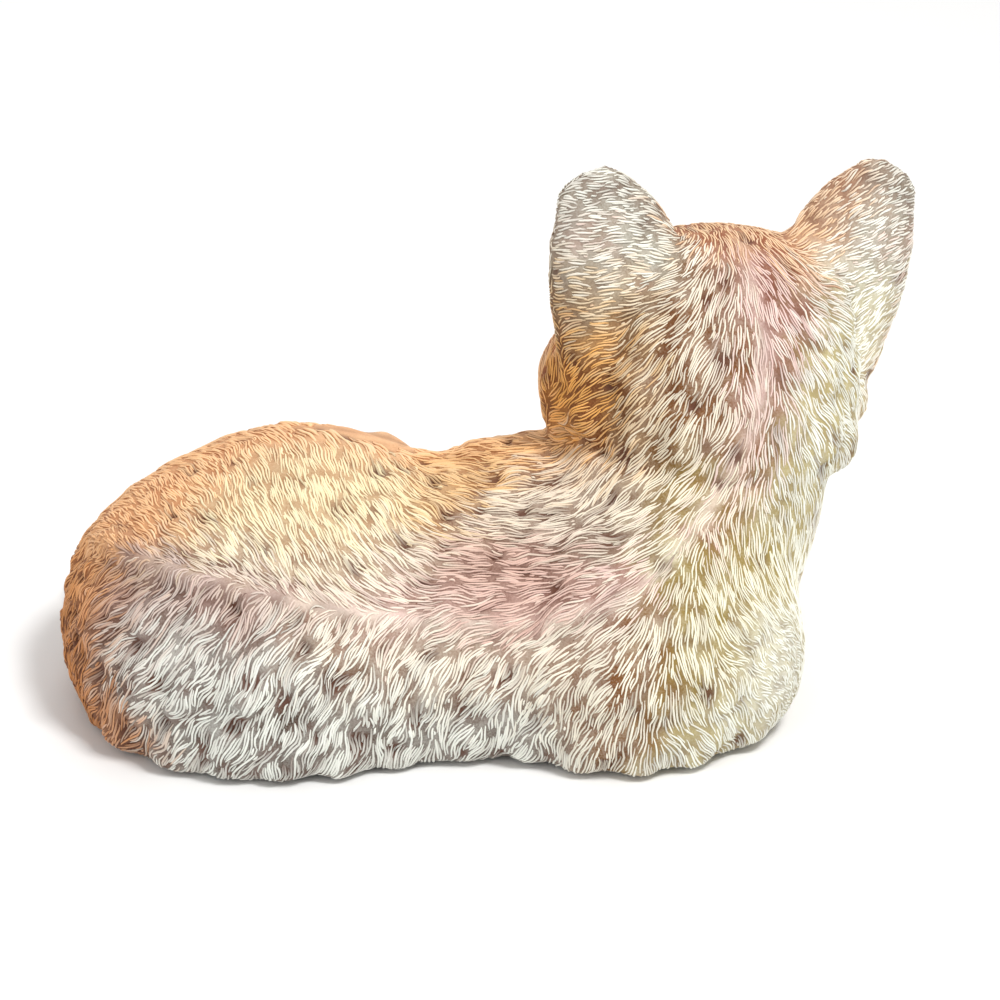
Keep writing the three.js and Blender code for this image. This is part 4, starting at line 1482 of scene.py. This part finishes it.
SIDES = {"left": 1, "right": -1}
glasses = [eye_glass(word + "_eye_dome", side) for word, side in SIDES.items()]
print("eye glass faces:", [len(g.data.polygons) for g in glasses])

# %% Clear glass
GLASS_TINTS = [(1, 1, 1, 1), (0.97, 0.98, 0.96, 1)]
GLASS_CLOUDS = 300.0
GLASS_SMEARS = 120.0
GLASS_ROUGH = 0.06
GLASS_BENDING = 1.4
clear_glass, tree, shader = new_material("clear_glass")
colour_from(tree, shader, blended(tree, grain(tree, GLASS_CLOUDS), *GLASS_TINTS))
rough_from(tree, shader, grain(tree, GLASS_SMEARS), GLASS_ROUGH, 0.0)
shader.inputs["Transmission Weight"].default_value = 1.0
shader.inputs["IOR"].default_value = GLASS_BENDING
for glass in glasses:
    glass.data.materials.append(clear_glass)
print("clear glass on", len(glasses), "domes")

# %% Irises with slit pupils
# The pupil is an ellipse, and its two numbers are one over its half width and half height in millimetres.
PUPIL_ACROSS = 0.42
PUPIL_UP = 0.14
PUPIL_BLACK = (0.004, 0.003, 0.003, 1)
IRIS_ENDS = [(0.3, "E3B23C"), (0.95, "3A2A10")]
IRIS_MIDDLE = (0.6, "8C9A3A")
IRIS_SPREAD = 0.085
IRIS_ROUGH = 0.4
FIBRE_GRAIN = 0.9
FIBRE_SHARE = 0.4


def eye_axes(tree, side):
    """The place of a point in the eye's own axes, in millimetres."""
    inward = eye_frame(side).inverted()
    place = tree.nodes.new("ShaderNodeTexCoord")
    turn = node(tree, "ShaderNodeMapping", Vector=place.outputs["Object"], Location=inward.translation,
                Rotation=inward.to_euler(), Scale=(1 / MM, 1 / MM, 1 / MM))
    return turn.outputs[0]


def iris_colour(tree, place, parts):
    """Amber at the pupil, then green, and a dark rim, broken up by fibres."""
    flat = node(tree, "ShaderNodeCombineXYZ", X=parts[0], Y=parts[1])
    out = node(tree, "ShaderNodeVectorMath")
    out.operation = "LENGTH"
    fill(tree, out.inputs[0], flat.outputs[0])
    fibre = node(tree, "ShaderNodeTexNoise", Vector=place, Scale=FIBRE_GRAIN, Detail=4.0).outputs[0]
    spread = sum_of(tree, "MULTIPLY", out.outputs["Value"], IRIS_SPREAD)
    rim = sum_of(tree, "ADD", spread, sum_of(tree, "MULTIPLY", fibre, FIBRE_SHARE))
    ramp = node(tree, "ShaderNodeValToRGB", Fac=rim)
    elements = ramp.color_ramp.elements
    for element, (at, code) in zip(elements, IRIS_ENDS):
        element.position = at
        element.color = opaque(code)
    elements.new(IRIS_MIDDLE[0]).color = opaque(IRIS_MIDDLE[1])
    return ramp.outputs[0]


def iris_paint(name, side):
    """Iris with a slit pupil, painted round the eye's own axis."""
    made, tree, shader = new_material(name)
    place = eye_axes(tree, side)
    parts = node(tree, "ShaderNodeSeparateXYZ", Vector=place).outputs
    wide = sum_of(tree, "POWER", sum_of(tree, "MULTIPLY", parts[0], PUPIL_ACROSS), 2.0)
    tall = sum_of(tree, "POWER", sum_of(tree, "MULTIPLY", parts[1], PUPIL_UP), 2.0)
    outside = sum_of(tree, "GREATER_THAN", sum_of(tree, "ADD", wide, tall), 1.0)
    colour_from(tree, shader, blended(tree, outside, PUPIL_BLACK, iris_colour(tree, place, parts)))
    shader.inputs["Roughness"].default_value = IRIS_ROUGH
    return made


for word, side in SIDES.items():
    iris = nodes[word + "_eye_iris"]
    iris.data.materials.clear()
    iris.data.materials.append(iris_paint(word + "_iris_paint", side))
print("irises painted")

# %% [markdown]
# Eyelids.
# Lids close a round dome to an almond. Four rings of points are bridged into a closed band: one buried in
# the skin, one swelling over the rim, and two along the almond's edge, the last of them inside the glass.

# %% Shape the eyelids
LID_POINTS = 32
LID_FLAT = 0.96
# Each ring's reach across, above and below the eye's middle, and its height over edge plane or glass.
LID_RINGS = [
    (LID_OUTER, LID_OUTER, LID_OUTER * LID_FLAT, -2.6),
    (11.6, 9.6, 8.4, 2.6),
    (8.9, 5.6, 4.3, 0.9),
    (8.7, 5.2, 3.9, -0.6),
]
ON_GLASS = 2
LID_TILT = 9.0
RIM_COAT = "3B2416"
RIM_WASH = "20120A"
LID_PAINT = {"ridge": 0.6, "deep": 0.0, "tone": 0.5}


def lid_point(angle, side, across, above, below):
    """A point of a lid ring, seen from the front: its outer corner is higher than the inner one."""
    x = across * math.cos(angle)
    y = (above if math.sin(angle) > 0 else below) * math.sin(angle)
    tilt = math.radians(side * LID_TILT)
    return x * math.cos(tilt) - y * math.sin(tilt), x * math.sin(tilt) + y * math.cos(tilt)


def dome_height(x, y):
    """Height of the glass over its edge plane."""
    return EYE_DOME * math.sqrt(max(0.0, 1 - (x * x + y * y) / EYE_RADIUS**2))


print("lids reach", LID_OUTER, "mm from the eye's middle")


# %% Bridge the rings into lids
def lid_band(side):
    """Both lids of one eye as a closed band."""
    shape = bmesh.new()
    rings = []
    for number, (across, above, below, raised) in enumerate(LID_RINGS):
        ring = bmesh.ops.create_circle(shape, segments=LID_POINTS, radius=1)["verts"]
        for vert in ring:
            x, y = lid_point(math.atan2(vert.co.y, vert.co.x), side, across, above, below)
            vert.co = (x, y, raised + (dome_height(x, y) if number >= ON_GLASS else 0))
        rings.append(ring)
    for one, two in zip(rings, rings[1:] + rings[:1]):
        both = {*one}, {*two}
        loop = [e for e in shape.edges if {*e.verts} <= both[0] or {*e.verts} <= both[1]]
        bmesh.ops.bridge_loops(shape, edges=loop)
    placed(shape, eye_frame(side))
    return shape


def eyelids(name, side):
    """The lids as a piece, in the coat's paint with a dark rim."""
    mesh = mesh_from(lid_band(side), name)
    ridge, groove = painted(points_of(mesh))
    edge = np.arange(len(mesh.vertices)) >= ON_GLASS * LID_POINTS
    give_values(mesh, "coat", np.where(edge[:, None], linear(RIM_COAT), ridge))
    give_values(mesh, "wash", np.where(edge[:, None], linear(RIM_WASH), groove))
    for kind, value in LID_PAINT.items():
        give_values(mesh, kind, np.full(len(mesh.vertices), value))
    mesh.materials.append(painted_resin)
    return smooth(refine(refine(link(name, mesh))))


lids = [eyelids(word + "_eyelids", side) for word, side in SIDES.items()]
print("eyelid faces:", [len(piece.data.polygons) for piece in lids])

# %% [markdown]
# Nose.
# The nose pad is a small smooth cushion, wide on top and narrow below, with two nostrils. It starts as a
# ball, which is squeezed, tapered and dented by moving its points.

# %% Model the nose pad
NOSE_SIZE = (7.6, 5.2, 5.6)
NOSE_ROUNDS = 5
NOSE_WIDE = 0.78
NOSE_TAPER = 0.3
CREASE_DEPTH = 1.2
CREASE_HALF = 0.9
CREASE_TOP = 0.3
NOSTRILS = [(3.6, -3.9, -1.6), (-3.6, -3.9, -1.6)]
NOSTRIL_DEPTH = 2.2
NOSTRIL_HALF = 1.5


def nose_pad():
    """The nose pad, in the head's own axes round its middle."""
    shape = bmesh.new()
    bmesh.ops.create_icosphere(shape, subdivisions=NOSE_ROUNDS, radius=1)
    for vert in shape.verts:
        x, y, z = vert.co
        taper = NOSE_WIDE + NOSE_TAPER * z
        place = Vector((x * NOSE_SIZE[0] * taper, y * NOSE_SIZE[1], z * NOSE_SIZE[2]))
        place.y += CREASE_DEPTH * math.exp(-((place.x / CREASE_HALF) ** 2)) * (z < CREASE_TOP)
        for hole in NOSTRILS:
            away = (place - Vector(hole)).length
            place.y += NOSTRIL_DEPTH * math.exp(-((away / NOSTRIL_HALF) ** 2))
        vert.co = place
    placed(shape, HEAD_FRAME @ Matrix.Translation(Vector(NOSE_AT)))
    return smooth(link("nose_pad", mesh_from(shape, "nose_pad")))


nose = nose_pad()
print("nose pad faces:", len(nose.data.polygons))

# %% Paint the nose
PEBBLES = 1500.0
BLOTCHES = 260.0
NOSE_ROUGH = 0.25
PEBBLE_ROUGH = 0.3
PEBBLE_BUMP = 0.4
PEBBLE_DEPTH = 0.2 * MM
nose_paint, tree, shader = new_material("nose_paint")
pebble = grain(tree, PEBBLES, 3.0)
colour_from(tree, shader, blended(tree, grain(tree, BLOTCHES), opaque("C98A7E"), opaque("A9655A")))
rough_from(tree, shader, pebble, PEBBLE_ROUGH, NOSE_ROUGH)
bump_from(tree, shader, pebble, PEBBLE_BUMP, PEBBLE_DEPTH)
nose.data.materials.append(nose_paint)
print("nose paint nodes:", len(tree.nodes))

# %% [markdown]
# Underside.
# The hollow is closed by a board, and a sheet of felt under it keeps the figurine from scratching. Felt
# has no weave, only matted fibres: the sheet starts as the CAD solid, is wrapped so that its cut edge
# softens, and is roughened by slow noise. Board and dowel keep their CAD shape and get a wood with long
# grain.

# %% Shape the felt sheet
FELT_VOXEL = 1.0 * MM
FELT_ROUNDS = 3
FELT_LUMP = 4.0
FELT_ROUGH = 0.12
felt = link("felt_sheet", mesh_from(merged_copy(["base_felt"]), "felt_sheet"))
voxel_wrap(felt, FELT_VOXEL)
relax(felt.data, FELT_ROUNDS)
felt_points = points_of(felt.data)
rough = np.array([noise.noise(Vector(p) / FELT_LUMP) for p in felt_points]) * FELT_ROUGH
felt_points += normals_of(felt.data) * (rough - FELT_ROUGH)[:, None]
put_points(felt.data, felt_points)
smooth(felt)
print("felt faces:", len(felt.data.polygons))

# %% Felt material
FELT_FIBRES = 2200.0
FELT_CLOUDS = 60.0
FIBRE_ROUGH = 0.1
FELT_MATT = 0.88
FIBRE_BUMP = 0.6
FIBRE_DEPTH = 0.3 * MM
felt_cloth, tree, shader = new_material("felt_cloth")
fibre = grain(tree, FELT_FIBRES, 6.0)
tone = blended(tree, grain(tree, FELT_CLOUDS), opaque("2E4436"), opaque("3C5645"))
colour_from(tree, shader, blended(tree, fibre, tone, opaque("55705E")))
rough_from(tree, shader, fibre, FIBRE_ROUGH, FELT_MATT)
bump_from(tree, shader, fibre, FIBRE_BUMP, FIBRE_DEPTH)
felt.data.materials.append(felt_cloth)
print("felt material nodes:", len(tree.nodes))

# %% Lay the felt
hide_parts("base_felt")
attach(felt, "root")

# %% Wood of the board and the dowel
GRAIN_ACROSS = 400.0
GRAIN_ALONG = 18.0
WOOD_ROUGH = 0.45
GRAIN_ROUGH = 0.3
GRAIN_BUMP = 0.3
GRAIN_DEPTH = 0.2 * MM
WOODEN = {"base_board": 0, "neck_dowel": 2}


def wood(name, way, dark, pale):
    """Wood whose grain runs along one axis of the object."""
    made, tree, shader = new_material(name)
    place = tree.nodes.new("ShaderNodeTexCoord")
    stretch = [GRAIN_ACROSS] * 3
    stretch[way] = GRAIN_ALONG
    drawn = node(tree, "ShaderNodeMapping", Vector=place.outputs["Object"], Scale=stretch)
    lines = node(tree, "ShaderNodeTexNoise", Vector=drawn.outputs[0], Scale=1.0, Detail=6.0).outputs[0]
    colour_from(tree, shader, blended(tree, lines, opaque(dark), opaque(pale)))
    rough_from(tree, shader, lines, GRAIN_ROUGH, WOOD_ROUGH)
    bump_from(tree, shader, lines, GRAIN_BUMP, GRAIN_DEPTH)
    return made


for name, way in WOODEN.items():
    nodes[name].data.materials.clear()
    nodes[name].data.materials.append(wood(name + "_wood", way, "8A6238", "C79D68"))
print("wood on", list(WOODEN))

# %% [markdown]
# Who rides and who stands for what.
# The skins stand for the CAD castings, which stay hidden. Nothing on the figurine moves, so all pieces
# ride on the one body.

# %% Bind the resin pieces
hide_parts("head_casting")
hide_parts("body_casting")
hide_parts("tail_casting")
resin = [head_skin, body_skin, tail, nose, *lids, *coats]
for piece in resin:
    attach(piece, "root")
for word, glass in zip(SIDES, glasses):
    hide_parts(word + "_eye_glass")
    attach(glass, "root")
print("resin pieces:", len(resin))

# %% [markdown]
# Studio.
# A pale floor and broad, soft lamps, the main one high on the right as in the picture, and a bright even
# world so that the shade under the ridge stays open.

# %% Floor
FLOOR_SIZE = 8.0
FLOOR_TINTS = [(0.9, 0.9, 0.9, 1), (0.93, 0.93, 0.92, 1)]
FLOOR_CLOUDS = 3.0
FLOOR_ROUGH = 0.9
shape = bmesh.new()
bmesh.ops.create_grid(shape, x_segments=4, y_segments=4, size=FLOOR_SIZE / 2)
floor = link("floor", mesh_from(shape, "floor"))
floor_paint, tree, shader = new_material("floor_paint")
colour_from(tree, shader, blended(tree, grain(tree, FLOOR_CLOUDS), *FLOOR_TINTS))
shader.inputs["Roughness"].default_value = FLOOR_ROUGH
floor.data.materials.append(floor_paint)
print("floor is", FLOOR_SIZE, "m wide")

# %% Lamps and world
# Each lamp's name, place, aim, width and power.
LAMPS = [
    ("key", (-0.6, 0.75, 1.5), (-0.02, 0, 0.06), 0.4, 21),
    ("fill", (1.2, 1.3, 0.7), (0, 0, 0.06), 1.0, 5),
    ("back", (0.2, -1.3, 1.2), (0, 0, 0.06), 1.0, 7),
]
WORLD_COLOUR = (1.0, 0.99, 0.98, 1)
WORLD_STRENGTH = 0.58


def lamp(name, place, aim, size, power):
    """A square area lamp that looks at a point."""
    data = bpy.data.lights.new(name, "AREA")
    data.energy = power
    data.size = size
    made = bpy.data.objects.new(name, data)
    made.location = place
    made.rotation_euler = (Vector(aim) - Vector(place)).to_track_quat("-Z", "Y").to_euler()
    bpy.context.scene.collection.objects.link(made)


for row in LAMPS:
    lamp(*row)
world = bpy.data.worlds.new("studio")
world.use_nodes = True
world.node_tree.nodes["Background"].inputs["Color"].default_value = WORLD_COLOUR
world.node_tree.nodes["Background"].inputs["Strength"].default_value = WORLD_STRENGTH
bpy.context.scene.world = world
bpy.context.scene.view_settings.view_transform = "Standard"
print("lamps:", [row[0] for row in LAMPS])
